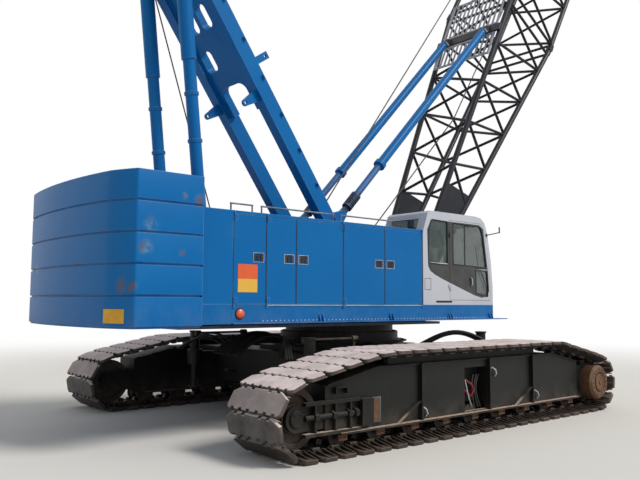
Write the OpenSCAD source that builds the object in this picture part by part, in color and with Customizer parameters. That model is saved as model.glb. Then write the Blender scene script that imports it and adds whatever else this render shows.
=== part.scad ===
// Crawler crane with a lattice boom, standing on the ground with its boom raised.
// X points forward, Y to the machine's left, Z up. The origin is on the ground
// under the middle of the machine, and all sizes are in millimetres.

/* [Tracks] */
// Distance between the middles of the two tracks
gauge = 5180; // [4800:10:5600]
// Place of the rear end wheel ahead of the slew axis
idler_x = -3260; // [-3500:10:-3100]
// Place of the front end wheel ahead of the slew axis
sprocket_x = 3480; // [3300:10:3700]
// Radius from an end wheel's middle to the shoe hinges
hinge_r = 440; // [400:5:480]
// Thickness of a shoe's plate
shoe_t = 50; // [35:5:70]
// Width of a shoe across the track
shoe_w = 1070; // [800:10:1200]
// Number of shoes in one track
shoe_n = 53; // [45:1:60]
// Gap between two shoes
shoe_gap = 9; // [4:1:20]
// Width of the link band under the shoes
band_w = 376; // [300:4:400]
// Depth of the link band below the hinges
band_t = 45; // [35:1:60]
// Height of the top run's hinges over the ground
run_z = 1205; // [1150:5:1260]
// Rear end of the top run's flat part
run_rear_x = -1940; // [-2200:10:-1700]
// Front end of the top run's flat part
run_front_x = 2230; // [2000:10:2400]
// Radius of a lower roller
roller_r = 130; // [110:1:140]
// Number of lower rollers on one side
roller_n = 9; // [7:1:10]

/* [Undercarriage] */
// Width of a track frame's box
frame_w = 570; // [540:10:620]
// Height of a track frame's lower flange
flange_z = 250; // [230:5:270]
// Radius of the drum in the middle of the carbody
carbody_r = 1150; // [1000:10:1300]
// Outer radius of the slew ring
ring_r = 1050; // [950:10:1150]
// Height of the upper machine's bottom plate
upper_z = 1500; // [1480:5:1520]

/* [Upper machine] */
// Half of the upper machine's width
half_w = 1600; // [1550:10:1700]
// Underside of the side deck
sill_z = 1585; // [1570:5:1620]
// Top of the side deck
deck_z = 1848; // [1820:1:1880]
// Top of the machine house
house_z = 3111; // [2900:1:3300]
// Rear end of the machine house
house_rear_x = -3830; // [-3860:10:-3800]
// Front end of the machine house
house_front_x = 446; // [400:2:480]
// Thickness of the house's doors and walls
panel_t = 40; // [30:1:50]
// Gap round each door
door_gap = 6; // [5:1:9]

/* [Counterweight] */
// Radius of the tail's round back
tail_r = 8115; // [7500:5:8800]
// Rear end of the tail behind the slew axis
tail_x = 5125; // [5050:5:5200]
// Half of the counterweight's width
weight_half_w = 1750; // [1660:10:1800]
// Underside of the counterweight
weight_z = 1550; // [1520:5:1560]
// Height of one counterweight block
weight_h = 386; // [380:1:400]
// Groove between two blocks
weight_groove = 22; // [10:1:30]

/* [Cab] */
// Width of the cab
cab_w = 945; // [900:5:950]
// Thickness of the cab's walls
cab_t = 45; // [35:1:60]
// Height of the cab's roof
cab_z = 3460; // [3350:10:3600]

/* [Gantry] */
// Place of the mast's foot pins ahead of the slew axis
mast_x = 20; // [-40:10:60]
// Height of the mast's foot pins
mast_z = 2120; // [2080:10:2160]
// Lean of the mast from the level
mast_lean = 54.6; // [52:0.2:57]
// Length of the mast
mast_l = 6440; // [6200:10:6600]
// Width of one mast leg
leg_w = 200; // [160:10:220]
// Depth of one mast leg
leg_d = 250; // [200:10:280]
// Distance of a mast leg's middle from the centre plane
leg_y = 550; // [540:5:560]
// Place of the rear legs' foot ahead of the slew axis
rear_leg_x = -3140; // [-3200:10:-3100]

/* [Boom] */
// Place of the boom's foot pin ahead of the slew axis
boom_x = 1472; // [1400:2:1500]
// Height of the boom's foot pin
boom_z = 2080; // [2040:10:2120]
// Angle of the boom as it stands
boom_angle = 59.6; // [50:0.1:65]
// Length of the tapered foot section
base_l = 7050; // [6800:10:7300]
// Length of the upper section to the head's sheaves
head_l = 11250; // [10000:50:12000]
// Depth of the boom between chord middles
boom_d = 1695; // [1500:5:1800]
// Width of the boom between chord middles
boom_w = 1721; // [1600:1:1800]
// Width between chord middles at the foot
foot_w = 969; // [940:1:980]
// Depth between chord middles at the foot
foot_d = 264; // [200:2:300]
// Radius of a chord tube
chord_r = 57; // [45:1:60]
// Radius of a lacing tube
lace_r = 30; // [20:1:36]
// Distance between two lacing nodes of one chord
bay = 1020; // [900:10:1200]

/* [Hidden] */

blue = "#1f62a8";
dark_blue = "#1a4f88";
steel_black = "#1d2228";
shoe_colour = "#8d8072";
cab_grey = "#c9cbd0";

// Clearance between faces that rest on each other
seat = 0.3;
// Middle height of the end wheels
axle_z = hinge_r + shoe_t;
// Height of the bottom run's hinges
low_z = shoe_t;
// Slopes of the top run towards the end wheels, and where they touch the wheels' circles
front_dx = sprocket_x - run_front_x;
rear_dx = run_rear_x - idler_x;
run_dz = run_z - axle_z;
front_slope = atan(run_dz / front_dx) - asin(hinge_r / norm([front_dx, run_dz]));
rear_slope = atan(run_dz / rear_dx) - asin(hinge_r / norm([rear_dx, run_dz]));
front_l = sqrt(pow(norm([front_dx, run_dz]), 2) - pow(hinge_r, 2));
rear_l = sqrt(pow(norm([rear_dx, run_dz]), 2) - pow(hinge_r, 2));
bottom_l = sprocket_x - idler_x;
top_l = run_front_x - run_rear_x;
front_arc = hinge_r * (180 - front_slope) * PI / 180;
rear_arc = hinge_r * (180 - rear_slope) * PI / 180;
loop_l = bottom_l + front_arc + front_l + top_l + rear_l + rear_arc;

// Point of the hinge line at the distance s from the rear end of the bottom run
function loop_point(s) =
    s < bottom_l ? [idler_x + s, low_z] :
    s < bottom_l + front_arc ?
        let (a = -90 + (s - bottom_l) / hinge_r * 180 / PI)
            [sprocket_x + hinge_r * cos(a), axle_z + hinge_r * sin(a)] :
    s < bottom_l + front_arc + front_l ?
        let (t = bottom_l + front_arc + front_l - s)
            [run_front_x + t * cos(front_slope), run_z - t * sin(front_slope)] :
    s < bottom_l + front_arc + front_l + top_l ?
        [run_front_x - (s - bottom_l - front_arc - front_l), run_z] :
    s < loop_l - rear_arc ?
        let (t = s - (bottom_l + front_arc + front_l + top_l))
            [run_rear_x - t * cos(rear_slope), run_z - t * sin(rear_slope)] :
        let (a = 90 + rear_slope + (s - (loop_l - rear_arc)) / hinge_r * 180 / PI)
            [idler_x + hinge_r * cos(a), axle_z + hinge_r * sin(a)];

// Hinge points of the track, with the first one repeated at both ends
hinges = [for (i = [-1 : shoe_n + 1]) loop_point(((i + shoe_n) % shoe_n + 0.5) * loop_l / shoe_n)];
function chord_angle(i) = atan2(hinges[i + 1][1] - hinges[i][1], hinges[i + 1][0] - hinges[i][0]);
// Outward direction at a hinge, halfway between its two shoes
function hinge_out(i) =
    let (a = chord_angle(i - 1), b = chord_angle(i), v = [sin(a) + sin(b), -cos(a) - cos(b)])
        v / norm(v);
function offset_loop(d) = [for (i = [1 : shoe_n]) hinges[i] + d * hinge_out(i)];

// Height of the top run's hinge line at the place x
function run_height(x) =
    x > run_front_x ? run_z - (x - run_front_x) * tan(front_slope) :
    x < run_rear_x ? run_z - (run_rear_x - x) * tan(rear_slope) : run_z;

// Extrudes an outline drawn in X and Z from y0 to y1
module across(y0, y1) {
    translate([0, y1, 0]) rotate([90, 0, 0]) linear_extrude(y1 - y0) children();
}
// A cylinder along Y from y0 to y1
module pin_y(x, z, r, y0, y1) {
    translate([x, y1, z]) rotate([90, 0, 0]) cylinder(h = y1 - y0, r = r);
}
// A box from its lowest to its highest corner
module block(low, high) {
    translate(low) cube(high - low);
}
// A round bar from p to q, turned about itself so that its seam lies between the lacings it meets
module bar(p, q, r) {
    v = q - p;
    translate(p) rotate([0, acos(v[2] / norm(v)), atan2(v[1], v[0])]) rotate([0, 0, 45])
        cylinder(h = norm(v), r = r);
}
// An eight-sided bar from p to q
module lace(p, q, r) {
    v = q - p;
    translate(p) rotate([0, acos(v[2] / norm(v)), atan2(v[1], v[0])])
        cylinder(h = norm(v), r = r, $fn = 8);
}
// Where the line from b touches the circle of radius r round c, on its left (1) or right (-1)
function touch(b, c, r, way) =
    let (v = c - b, d = norm(v), a = atan2(v[1], v[0]) + way * asin(r / d))
        b + sqrt(d * d - r * r) * [cos(a), sin(a)];
// A lug: a disc round c that runs out to a base from a to b, a on the left when facing the disc
module ear(c, r, a, b) {
    translate(c) circle(r = r);
    polygon([a, touch(a, c, r - 1, 1), touch(b, c, r - 1, -1), b]);
}
// Two discs and the web between them
module link(p, rp, q, rq) {
    n = [p[1] - q[1], q[0] - p[0]] / norm(q - p);
    translate(p) circle(r = rp);
    translate(q) circle(r = rq);
    polygon([p + n * (rp - 1), p - n * (rp - 1), q - n * (rq - 1), q + n * (rq - 1)]);
}
// Outline of a rectangle with round corners
function rounded(w, l, r) = [for (q = [0 : 3], a = [0 : 15 : 90])
    [(q == 0 || q == 3 ? 1 : -1) * (w / 2 - r) + r * cos(q * 90 + a),
        (q < 2 ? 1 : -1) * (l / 2 - r) + r * sin(q * 90 + a)]];
// A copy on each side of the centre plane, or on one side only
module side(s) {
    if (s > 0) children();
    else mirror([0, 1, 0]) children();
}

// Track shoes, one plate after the other round the loop, on a band of links
shoe_l = loop_l / shoe_n - shoe_gap;
shoe_cut = 45;
lug_l = 110;
lug_w = 100;
lug_h = 60;
module track() {
    translate([0, gauge / 2, 0]) {
        for (i = [1 : shoe_n]) {
            a = chord_angle(i);
            p = (hinges[i] + hinges[i + 1]) / 2;
            translate([p[0], 0, p[1]]) rotate([0, -a, 0]) {
                translate([0, 0, -shoe_t]) linear_extrude(shoe_t)
                    polygon([[-shoe_l / 2, -shoe_w / 2 + shoe_cut], [-shoe_l / 2 + shoe_cut, -shoe_w / 2],
                        [shoe_l / 2 - shoe_cut, -shoe_w / 2], [shoe_l / 2, -shoe_w / 2 + shoe_cut],
                        [shoe_l / 2, shoe_w / 2 - shoe_cut], [shoe_l / 2 - shoe_cut, shoe_w / 2],
                        [-shoe_l / 2 + shoe_cut, shoe_w / 2], [-shoe_l / 2, shoe_w / 2 - shoe_cut]]);
                block([-lug_l / 2, -lug_w / 2, band_t - 10], [lug_l / 2, lug_w / 2, band_t + lug_h]);
            }
        }
        across(-band_w / 2, band_w / 2)
            polygon(concat(offset_loop(12), offset_loop(-band_t)),
                paths = [[for (i = [0 : shoe_n - 1]) i], [for (i = [0 : shoe_n - 1]) shoe_n + i]]);
    }
}

// End wheels and rollers run on the band, with a groove for the lugs
shoe_half_a = asin(loop_l / shoe_n / 2 / hinge_r);
wheel_r = (hinge_r - band_t) * cos(shoe_half_a) - seat;
groove_r = hinge_r * cos(shoe_half_a) - band_t - lug_h - 8;
groove_w = lug_w + 50;
wheel_w = band_w + 24;
roller_z = low_z + band_t + seat + roller_r;
roller_first_x = idler_x + 700;
roller_last_x = sprocket_x - 700;
roller_pitch = (roller_last_x - roller_first_x) / (roller_n - 1);
web_t = 45;
web_y = frame_w / 2 - web_t;
box_z = roller_z + roller_r + 45;
frame_rear_x = idler_x + wheel_r + 60;
frame_front_x = sprocket_x - wheel_r - 60;
frame_drop = 160;
skid_x0 = run_rear_x + 330;
skid_x1 = run_front_x - 330;
yoke_in = wheel_w / 2 + 12;
yoke_t = 50;

module wheel_profile(r, width, groove_depth_r, bore) {
    rotate_extrude() polygon([[bore, -width / 2], [r, -width / 2], [r, -groove_w / 2],
        [groove_depth_r, -groove_w / 2], [groove_depth_r, groove_w / 2], [r, groove_w / 2],
        [r, width / 2], [bore, width / 2]]);
}

module idler() {
    translate([idler_x, gauge / 2, axle_z]) rotate([90, 0, 0]) {
        difference() {
            union() {
                wheel_profile(wheel_r, wheel_w, groove_r, 60);
                cylinder(h = wheel_w + 20, r = 110, center = true);
            }
            for (s = [-1, 1]) translate([0, 0, s * (wheel_w / 2 + 1)])
                rotate_extrude() translate([235, 0]) square([110, 80], center = true);
            cylinder(h = wheel_w + 40, r = 60, center = true);
        }
        cylinder(h = 2 * yoke_in - 2 * seat, r = 60, center = true);
    }
}

tooth_n = 9;
module sprocket() {
    translate([sprocket_x, gauge / 2, axle_z]) rotate([90, 0, 0]) difference() {
        union() {
            wheel_profile(wheel_r, wheel_w, groove_r, 0);
            cylinder(h = 2 * yoke_in - 2 * seat, r = 150, center = true);
        }
        for (k = [0 : tooth_n - 1]) rotate([0, 0, k * 360 / tooth_n])
            translate([wheel_r + 12, 0, 0]) cylinder(h = wheel_w + 40, r = 62, center = true);
    }
}

// Final drive housing on the outside of the sprocket
drive_r = 300;
drive_out = 490;
module drive() {
    translate([sprocket_x, gauge / 2, axle_z]) rotate([-90, 0, 0])
        rotate_extrude() polygon([[0, yoke_in + yoke_t + seat], [drive_r, yoke_in + yoke_t + seat],
            [drive_r, drive_out - 40], [drive_r - 40, drive_out], [drive_r - 120, drive_out],
            [drive_r - 130, drive_out - 25], [0, drive_out - 25]]);
}

flange_l = roller_r + 20;
module rollers() {
    for (s = [-1, 1]) side(s) for (i = [0 : roller_n - 1])
        translate([roller_first_x + i * roller_pitch, gauge / 2, roller_z]) rotate([90, 0, 0])
            rotate_extrude() polygon([[0, -web_y + seat], [45, -web_y + seat], [45, -band_w / 2 - 26],
                [flange_l, -band_w / 2 - 26], [flange_l, -band_w / 2 - 4], [roller_r, -band_w / 2 - 4],
                [roller_r, -groove_w / 2], [60, -groove_w / 2], [60, groove_w / 2], [roller_r, groove_w / 2],
                [roller_r, band_w / 2 + 4], [flange_l, band_w / 2 + 4], [flange_l, band_w / 2 + 26],
                [45, band_w / 2 + 26], [45, web_y - seat], [0, web_y - seat]]);
}

// One track frame: a box with webs that hold the rollers, skid rails on top and a yoke at each end
function top_line(drop) = [
    [frame_front_x, run_height(frame_front_x) - drop], [run_front_x, run_z - drop],
    [run_rear_x, run_z - drop], [frame_rear_x, run_height(frame_rear_x) - drop]];
rib_x = [-1092, 462, 1620];
rib_out = 60;
// Pocket in the outer web where the hoses of the drive come out
pocket = [[-100, flange_z + 40], [rib_x[1] - 25, run_z - frame_drop - 120]];
pocket_deep = 180;
// Tensioner of the idler: two shelves, and between them a screw with its nuts
shelf_out = 345;
screw_r = 34;
nut_x = [-3030, -2740, -2480, -2360];
module track_frame() {
    translate([0, gauge / 2, 0]) difference() {
        union() {
            across(-frame_w / 2 + web_t, frame_w / 2 - web_t)
                polygon(concat([[frame_rear_x, box_z], [frame_front_x, box_z]], top_line(frame_drop)));
            for (s = [-1, 1]) {
                across(s * (frame_w / 2 - web_t / 2) - web_t / 2, s * (frame_w / 2 - web_t / 2) + web_t / 2)
                    polygon(concat([[frame_rear_x, flange_z + 10], [frame_front_x, flange_z + 10]],
                        top_line(frame_drop)));
                across(s * (frame_w / 2 + 30) - 60, s * (frame_w / 2 + 30) + 60)
                    polygon([[frame_rear_x + 200, flange_z], [frame_front_x - 60, flange_z],
                        [frame_front_x - 60, flange_z + 25], [frame_rear_x + 200, flange_z + 25]]);
                // skid rails under the top run
                across(s * 135 - 38, s * 135 + 38)
                    polygon([[skid_x0, run_z - band_t - seat - 40], [skid_x0, run_z - frame_drop - 10],
                        [skid_x1, run_z - frame_drop - 10], [skid_x1, run_z - band_t - seat - 40],
                        [skid_x1 - 120, run_z - band_t - seat], [skid_x0 + 120, run_z - band_t - seat]]);
            }
            // ribs on the outer web
            for (x = rib_x) {
                block([x - 15, frame_w / 2 - 10, flange_z + 10],
                    [x + 15, frame_w / 2 + rib_out, run_z - frame_drop]);
                // a gusset that runs down from the rib to the lower flange, but not across the pocket
                if (x != rib_x[1]) across(frame_w / 2 - 10, frame_w / 2 + rib_out - 8)
                    polygon([[x - 480, flange_z + 12], [x - 14, flange_z + 290], [x - 14, flange_z + 274],
                        [x - 452, flange_z + 12]]);
            }
            // upper edge of the outer web, turned out
            across(frame_w / 2 - 10, frame_w / 2 + 25) polygon([
                [frame_front_x - 20, run_height(frame_front_x - 20) - frame_drop],
                [run_front_x, run_z - frame_drop], [run_rear_x, run_z - frame_drop],
                [frame_rear_x + 20, run_height(frame_rear_x + 20) - frame_drop],
                [frame_rear_x + 20, run_height(frame_rear_x + 20) - frame_drop - 18],
                [run_rear_x, run_z - frame_drop - 18], [run_front_x, run_z - frame_drop - 18],
                [frame_front_x - 20, run_height(frame_front_x - 20) - frame_drop - 18]]);
            // yokes round the end wheels
            for (s = [-1, 1]) {
                across(s * (yoke_in + yoke_t / 2) - yoke_t / 2, s * (yoke_in + yoke_t / 2) + yoke_t / 2) {
                    ear([idler_x, axle_z], 160, [frame_rear_x + 130, axle_z - 150],
                        [frame_rear_x + 130, axle_z + 180]);
                    ear([sprocket_x, axle_z], drive_r + 15, [frame_front_x - 130, axle_z + 290],
                        [frame_front_x - 130, axle_z - 180]);
                }
            }
            // box of the track tensioner on the outside
            for (z = [axle_z - 200, axle_z + 170])
                block([frame_rear_x - 350, yoke_in + yoke_t - 1, z - 20],
                    [frame_rear_x + 561, shelf_out, z + 20]);
            for (x = [frame_rear_x - 200, frame_rear_x + 130, frame_rear_x + 380])
                block([x, yoke_in + yoke_t - 1, axle_z - 190], [x + 30, shelf_out - 10, axle_z + 160]);
            translate([frame_rear_x - 330, 300, axle_z]) rotate([0, 90, 0]) cylinder(h = 895, r = screw_r);
            for (x = nut_x) translate([x, 300, axle_z]) rotate([0, 90, 0])
                cylinder(h = 60, r = screw_r + 28, $fn = 6);
            // step above the tensioner
            block([-2700, frame_w / 2 - 10, axle_z + 330], [-2500, frame_w / 2 + 70, axle_z + 345]);
            for (x = [-2700, -2515])
                block([x, frame_w / 2 - 10, axle_z + 260], [x + 15, frame_w / 2 + 60, axle_z + 335]);
            block([frame_rear_x + 560, frame_w / 2 - 10, axle_z - 160],
                [frame_rear_x + 760, frame_w / 2 + 85, axle_z + 170]);
        }
        block([pocket[0][0], frame_w / 2 - pocket_deep, pocket[0][1]],
            [pocket[1][0], frame_w / 2 + 1, pocket[1][1]]);
    }
}

// Carbody with its two cross beams
beam_x = 1250;
beam_w = 700;
beam_z0 = 500;
beam_z1 = 1080;
beam_y = gauge / 2 - frame_w / 2 - seat;
tie_x = 1700;
tie_y = 1000;
tie_z = 700;
tie_r = 35;
jack_x = 2020;
jack_y = 1600;
jack_r = 85;
module carbody() color(steel_black) {
    translate([0, 0, 460]) cylinder(h = 760, r = carbody_r);
    for (s = [-1, 1]) {
        block([s * beam_x - beam_w / 2, -beam_y, beam_z0], [s * beam_x + beam_w / 2, beam_y, beam_z1]);
        for (m = [-1, 1]) {
            block([s * jack_x - 60 - (s > 0 ? 500 : 0), m * jack_y - 60, 820],
                [s * jack_x + 60 + (s > 0 ? 0 : 500), m * jack_y + 60, 1000]);
            translate([s * jack_x, m * jack_y, 780]) cylinder(h = 260, r = jack_r + 45);
            translate([s * jack_x, m * jack_y, 400]) cylinder(h = 400, r = jack_r - 15);
            translate([s * jack_x, m * jack_y, 370]) cylinder(h = 30, r = jack_r + 25);
        }
    }
    block([-beam_x, -700, 520], [beam_x, 700, 1150]);
    // lashing eyes, flat plates out of the beams' outer faces
    for (s = [-1, 1], m = [-1, 1]) translate([0, m * tie_y, tie_z - 20]) linear_extrude(40) difference() {
        ear([s * tie_x, 0], 75, [s * (beam_x + beam_w / 2 - 10), s * 110],
            [s * (beam_x + beam_w / 2 - 10), -s * 110]);
        translate([s * tie_x, 0]) circle(r = tie_r);
    }
    translate([0, 0, 1215]) cylinder(h = 15, r = carbody_r + 60);
}

module jacks() color(steel_black)
    for (s = [-1, 1], m = [-1, 1]) translate([s * jack_x, m * jack_y, 0]) {
        translate([0, 0, 1040 + seat]) cylinder(h = 300, r = jack_r);
        translate([0, 0, 1340]) cylinder(h = 30, r = jack_r + 15);
    }

module slew_ring() color(steel_black) difference() {
    union() {
        translate([0, 0, 1230 + seat]) cylinder(h = 150, r = ring_r);
        translate([0, 0, 1300]) cylinder(h = upper_z - seat - 1300, r = ring_r - 90);
    }
    translate([0, 0, 1200]) cylinder(h = 400, r = ring_r - 260);
}

// Main frame of the upper machine: floor plate, two box girders and their ears
girder_in = 370;
girder_out = 650;
girder_z = 2000;
cheek_r = 190;
boom_pin_r = 60;
foot_y = foot_w / 2;
lug_half = 49;
floor_x0 = house_rear_x;
floor_x1 = 1600;
drum_x = [520, -760, -2080];
drum_z = 2380;
cross_x = [-3150, -1950, -620, 700, 1500];
module upper_frame() color(dark_blue) {
    block([floor_x0, -1000, upper_z], [floor_x1, 1000, upper_z + 45]);
    for (s = [-1, 1]) side(s) {
        difference() {
            across(girder_in, girder_out) union() {
                translate([floor_x0, upper_z + 10]) square([boom_x - floor_x0, girder_z - upper_z - 10]);
                translate([boom_x - 20, upper_z + 10]) square([160, 300]);
                ear([boom_x, boom_z], cheek_r, [boom_x - 560, upper_z + 240], [boom_x + 140, upper_z + 240]);
            }
            // slot for the boom's foot
            block([boom_x - cheek_r - 60, foot_y - lug_half - 6, boom_z - cheek_r - 30],
                [boom_x + cheek_r + 400, foot_y + lug_half + 6, boom_z + cheek_r + 60]);
        }
        pin_y(boom_x, boom_z, boom_pin_r, girder_in - 20, girder_out);
        // ears for the mast's foot
        for (y = [leg_y - 62, leg_y + 62]) across(y - 20, y + 20)
            ear([mast_x, mast_z], 110, [mast_x - 200, girder_z - 40], [mast_x + 200, girder_z - 40]);
        // ears for the rear legs' foot
        for (y = [rear_y - 62, rear_y + 62]) across(y - 20, y + 20)
            ear([rear_leg_x, mast_z], 100, [rear_leg_x - 160, girder_z - 40], [rear_leg_x + 160, girder_z - 40]);
        // stands that hold the winch drums
        for (x = drum_x) across(girder_in, girder_in + 60)
            ear([x, drum_z], 110, [x - 220, girder_z - 40], [x + 220, girder_z - 40]);
        // brackets under the side decks
        for (x = cross_x) block([x - 60, girder_out - 10, sill_z + 20],
            [x + 60, half_w - 40, deck_z - 30 - seat]);
    }
}

// Side decks with their outer skirt
sill_rear_x = -3370;
sill_front_x = 2406;
lip_front_x = 2780;
skirt_t = 25;
// Pairs of gussets between the skirt and its lower edge
gusset_x = [-1810, -320, 1160, 2310];
gusset_gap = 50;
gusset_t = 14;
module sill() color(blue) {
    for (x = gusset_x, m = [-1, 1]) translate([x + m * (gusset_gap + gusset_t) / 2 - gusset_t / 2, 0, 0])
        rotate([90, 0, 90]) linear_extrude(gusset_t) polygon([[half_w - 1, sill_z + 10],
            [half_w + 48, sill_z + 10], [half_w + 48, sill_z + 34], [half_w - 1, sill_z + 150]]);
    hinge_brackets(deck_z - 45, deck_z);
    block([sill_rear_x, half_w - skirt_t, sill_z], [sill_front_x, half_w, deck_z]);
    block([house_rear_x, half_w - skirt_t, sill_z], [sill_rear_x - door_gap, half_w, deck_z]);
    block([house_rear_x, girder_out + seat, deck_z - 30], [sill_front_x, half_w - 1, deck_z]);
    block([sill_rear_x, half_w - 5, sill_z], [lip_front_x, half_w + 55, sill_z + 16]);
    block([sill_front_x - 200, half_w - 140, sill_z], [lip_front_x, half_w, sill_z + 16]);
}

// Counterweight blocks, round at the back, with bevelled rear corners, and a little wider than the house
weight_front_x = house_rear_x - seat;
wing_front_x = -3915;
weight_corner_x = -4835;
module weight_outline(inset) {
    w = weight_half_w - inset;
    half = [[weight_front_x, half_w - inset], [wing_front_x, half_w - inset], [wing_front_x, w],
        [weight_corner_x, w], [weight_corner_x - 462, w - 900]];
    intersection() {
        translate([tail_r - tail_x, 0]) circle(r = tail_r - inset);
        polygon([for (p = half) p, for (k = [len(half) - 1 : -1 : 0]) [half[k][0], -half[k][1]]]);
    }
}
module weight(i) color(blue) {
    z = weight_z + i * weight_h;
    translate([0, 0, z + (i > 0 ? seat : 0)]) linear_extrude(weight_groove) weight_outline(18);
    translate([0, 0, z + weight_groove]) linear_extrude(weight_h - weight_groove) weight_outline(0);
}

// Seams of the house's doors, and each door's hinges: the seam, and whether the door lies ahead of it (1) or behind
seams = [-3361, -2813, -2279, -1362, -463, house_front_x];
hinge_seam = [0, 1, 3, 3, 5];
hinge_way = [1, 1, -1, 1, -1];
hinge_off = 12;
knuckle_r = 8;
function hinge_x(i) = seams[hinge_seam[i]] + hinge_way[i] * hinge_off;
module hinge_brackets(z0, z1) {
    for (i = [0 : 4]) block([hinge_x(i) - 10, half_w - 1, z0], [hinge_x(i) + 10, half_w + hinge_off + knuckle_r, z1]);
}

// Grating of bars over the air opening in the house's roof
vent = [[-2700, 900], [-1500, 1400]];
vent_bar = 40;
vent_n = 12;
module roof_vent() {
    pitch = (vent[1][0] - vent[0][0] - vent_bar) / vent_n;
    difference() {
        block([vent[0][0], vent[0][1], house_z - 5], [vent[1][0], vent[1][1], house_z + 30]);
        for (k = [0 : vent_n - 1])
            block([vent[0][0] + vent_bar + k * pitch, vent[0][1] + 30, house_z + 2],
                [vent[0][0] + (k + 1) * pitch, vent[1][1] - 30, house_z + 31]);
    }
}

// Machine house on one side, with a post behind each seam between its doors
inner_y = 700;
post_w = 76;
post_t = 55;
module house() color(blue) {
    out_y = half_w;
    z0 = deck_z + seat;
    // fixed panel, roof, inner wall and the two end walls
    block([house_rear_x, out_y - panel_t, z0], [seams[0] - door_gap / 2, out_y, house_z]);
    block([house_rear_x, inner_y, house_z - panel_t], [house_front_x - 2, out_y, house_z]);
    block([house_rear_x, inner_y, z0], [house_front_x - 2, inner_y + panel_t, house_z]);
    block([house_rear_x, inner_y, z0], [house_rear_x + panel_t, out_y, house_z]);
    block([house_front_x - 42, inner_y, z0], [house_front_x - 2, out_y - panel_t - door_gap, house_z]);
    // posts and rails behind the doors
    post_y = out_y - panel_t - door_gap;
    for (x = seams) {
        x0 = min(x - post_w / 2, house_front_x - 2 - post_w);
        block([x0, post_y - post_t, z0], [x0 + post_w, post_y, house_z - 10]);
    }
    block([seams[0], post_y - post_t, z0], [house_front_x - 2, post_y, z0 + 70]);
    hinge_brackets(house_z - panel_t, house_z - 10);
    roof_vent();
}

// Doors of the house between two seams
louvre_n = 12;
louvre_pitch = 64;
louvre_h = 36;
louvre_deep = 14;
module house_door(i, louvres = false) color(blue) {
    g = door_gap / 2;
    difference() {
        block([seams[i] + g, half_w - panel_t, deck_z + door_gap],
            [seams[i + 1] - g, half_w, house_z - panel_t - door_gap]);
        // pocket behind the latch
        x = latch_x(i);
        block([x - 45, half_w - 12, latch_z - 60], [x + 45, half_w + 1, latch_z + 60]);
        if (louvres) for (k = [0 : louvre_n - 1])
            block([seams[i] + 110, half_w - louvre_deep, deck_z + 170 + k * louvre_pitch],
                [seams[i + 1] - 210, half_w + 1, deck_z + 170 + k * louvre_pitch + louvre_h]);
    }
    translate([latch_x(i), half_w - 14, latch_z]) rotate([-90, 0, 0]) cylinder(h = 12, r = 22);
    // knuckles that turn between the brackets of the side deck and the roof, each on a leaf
    for (z = [[deck_z + seat, deck_z + 90], [house_z - panel_t - 90, house_z - panel_t - seat]]) {
        translate([hinge_x(i), half_w + hinge_off, z[0]]) cylinder(h = z[1] - z[0], r = knuckle_r);
        block([min(hinge_x(i), hinge_x(i) + hinge_way[i] * 60), half_w - 1, max(z[0], deck_z + door_gap + 5)],
            [max(hinge_x(i), hinge_x(i) + hinge_way[i] * 60), half_w + 6, min(z[1], house_z - panel_t - door_gap - 5)]);
    }
}
latch_z = 2490;
latch_inset = 130;
// +1 where a door's latch is near its front edge, -1 where it is near its rear edge
latch_end = [1, 1, -1, 1, -1];
function latch_x(i) = latch_end[i] > 0 ? seams[i + 1] - latch_inset : seams[i] + latch_inset;

// Winch drums along Y between their stands
drum_core_r = 270;
drum_flange_r = 360;
drum_half = girder_in - seat;
module winches() color(steel_black)
    for (x = drum_x) translate([x, 0, drum_z]) rotate([90, 0, 0])
        rotate_extrude() polygon([[0, -drum_half], [70, -drum_half], [70, -320], [drum_flange_r, -320],
            [drum_flange_r, -290], [drum_core_r, -290], [drum_core_r, 290], [drum_flange_r, 290],
            [drum_flange_r, 320], [70, 320], [70, drum_half], [0, drum_half]]);

// Engine, one plain block in the right-hand house
engine_x0 = -2950;
engine_x1 = -1250;
module engine() color("#555a5e")
    block([engine_x0, -1420, deck_z + seat], [engine_x1, -inner_y - panel_t - 40, 2850]);

// Cab on the right-hand side, ahead of the house
cab_x0 = 462;
cab_in_y = -half_w + cab_w;
cab_floor_z = deck_z + seat;
cab_side = [[cab_x0, cab_floor_z], [2404, cab_floor_z], [2406, 2190], [2360, 2670], [2262, 3160],
    [2180, 3360], [2060, cab_z - 20], [1900, cab_z], [640, cab_z], [590, cab_z - 40], [cab_x0, 3080]];
door_x0 = 1165;
cab_door_side = [[door_x0, 1935], [2322, 1935], [2322, 2190], [2278, 2660], [2184, 3130], [2120, 3270],
    [2050, 3330], [door_x0, 3330]];
door_pane = [[1260, 2560], [2222, 2530], [2120, 3120], [2070, 3255], [1990, 3280], [1260, 3290]];
low_pane = [[1910, 2060], [2252, 1995], [2268, 2190], [2236, 2465], [1900, 2490]];
quarter_pane = [[600, 2560], [1110, 2540], [1110, 3300], [690, 3310], [600, 3080]];
left_pane = [[760, 2400], [2200, 2400], [2110, 3120], [2000, 3290], [760, 3290]];
// Hinges of the cab door: a leaf and a knuckle on the shell, and the same on the door below them
cab_hinge_x = door_x0 - 3;
cab_hinge_y = -half_w - 12;
module cab_hinge(way, z) {
    block([way > 0 ? cab_hinge_x + 4 : cab_hinge_x - 44, cab_hinge_y, z],
        [way > 0 ? cab_hinge_x + 44 : cab_hinge_x - 4, -half_w + 1, z + 50]);
    block([min(cab_hinge_x, cab_hinge_x + way * 6), cab_hinge_y, z],
        [max(cab_hinge_x, cab_hinge_x + way * 6), cab_hinge_y + 7, z + 50]);
    translate([cab_hinge_x, cab_hinge_y, z]) cylinder(h = 50, r = 10);
}
cab_hinge_z = [2150, 3080];
module cab_shell() color(cab_grey) {
    cab_walls();
    for (z = cab_hinge_z) cab_hinge(-1, z);
}
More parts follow.
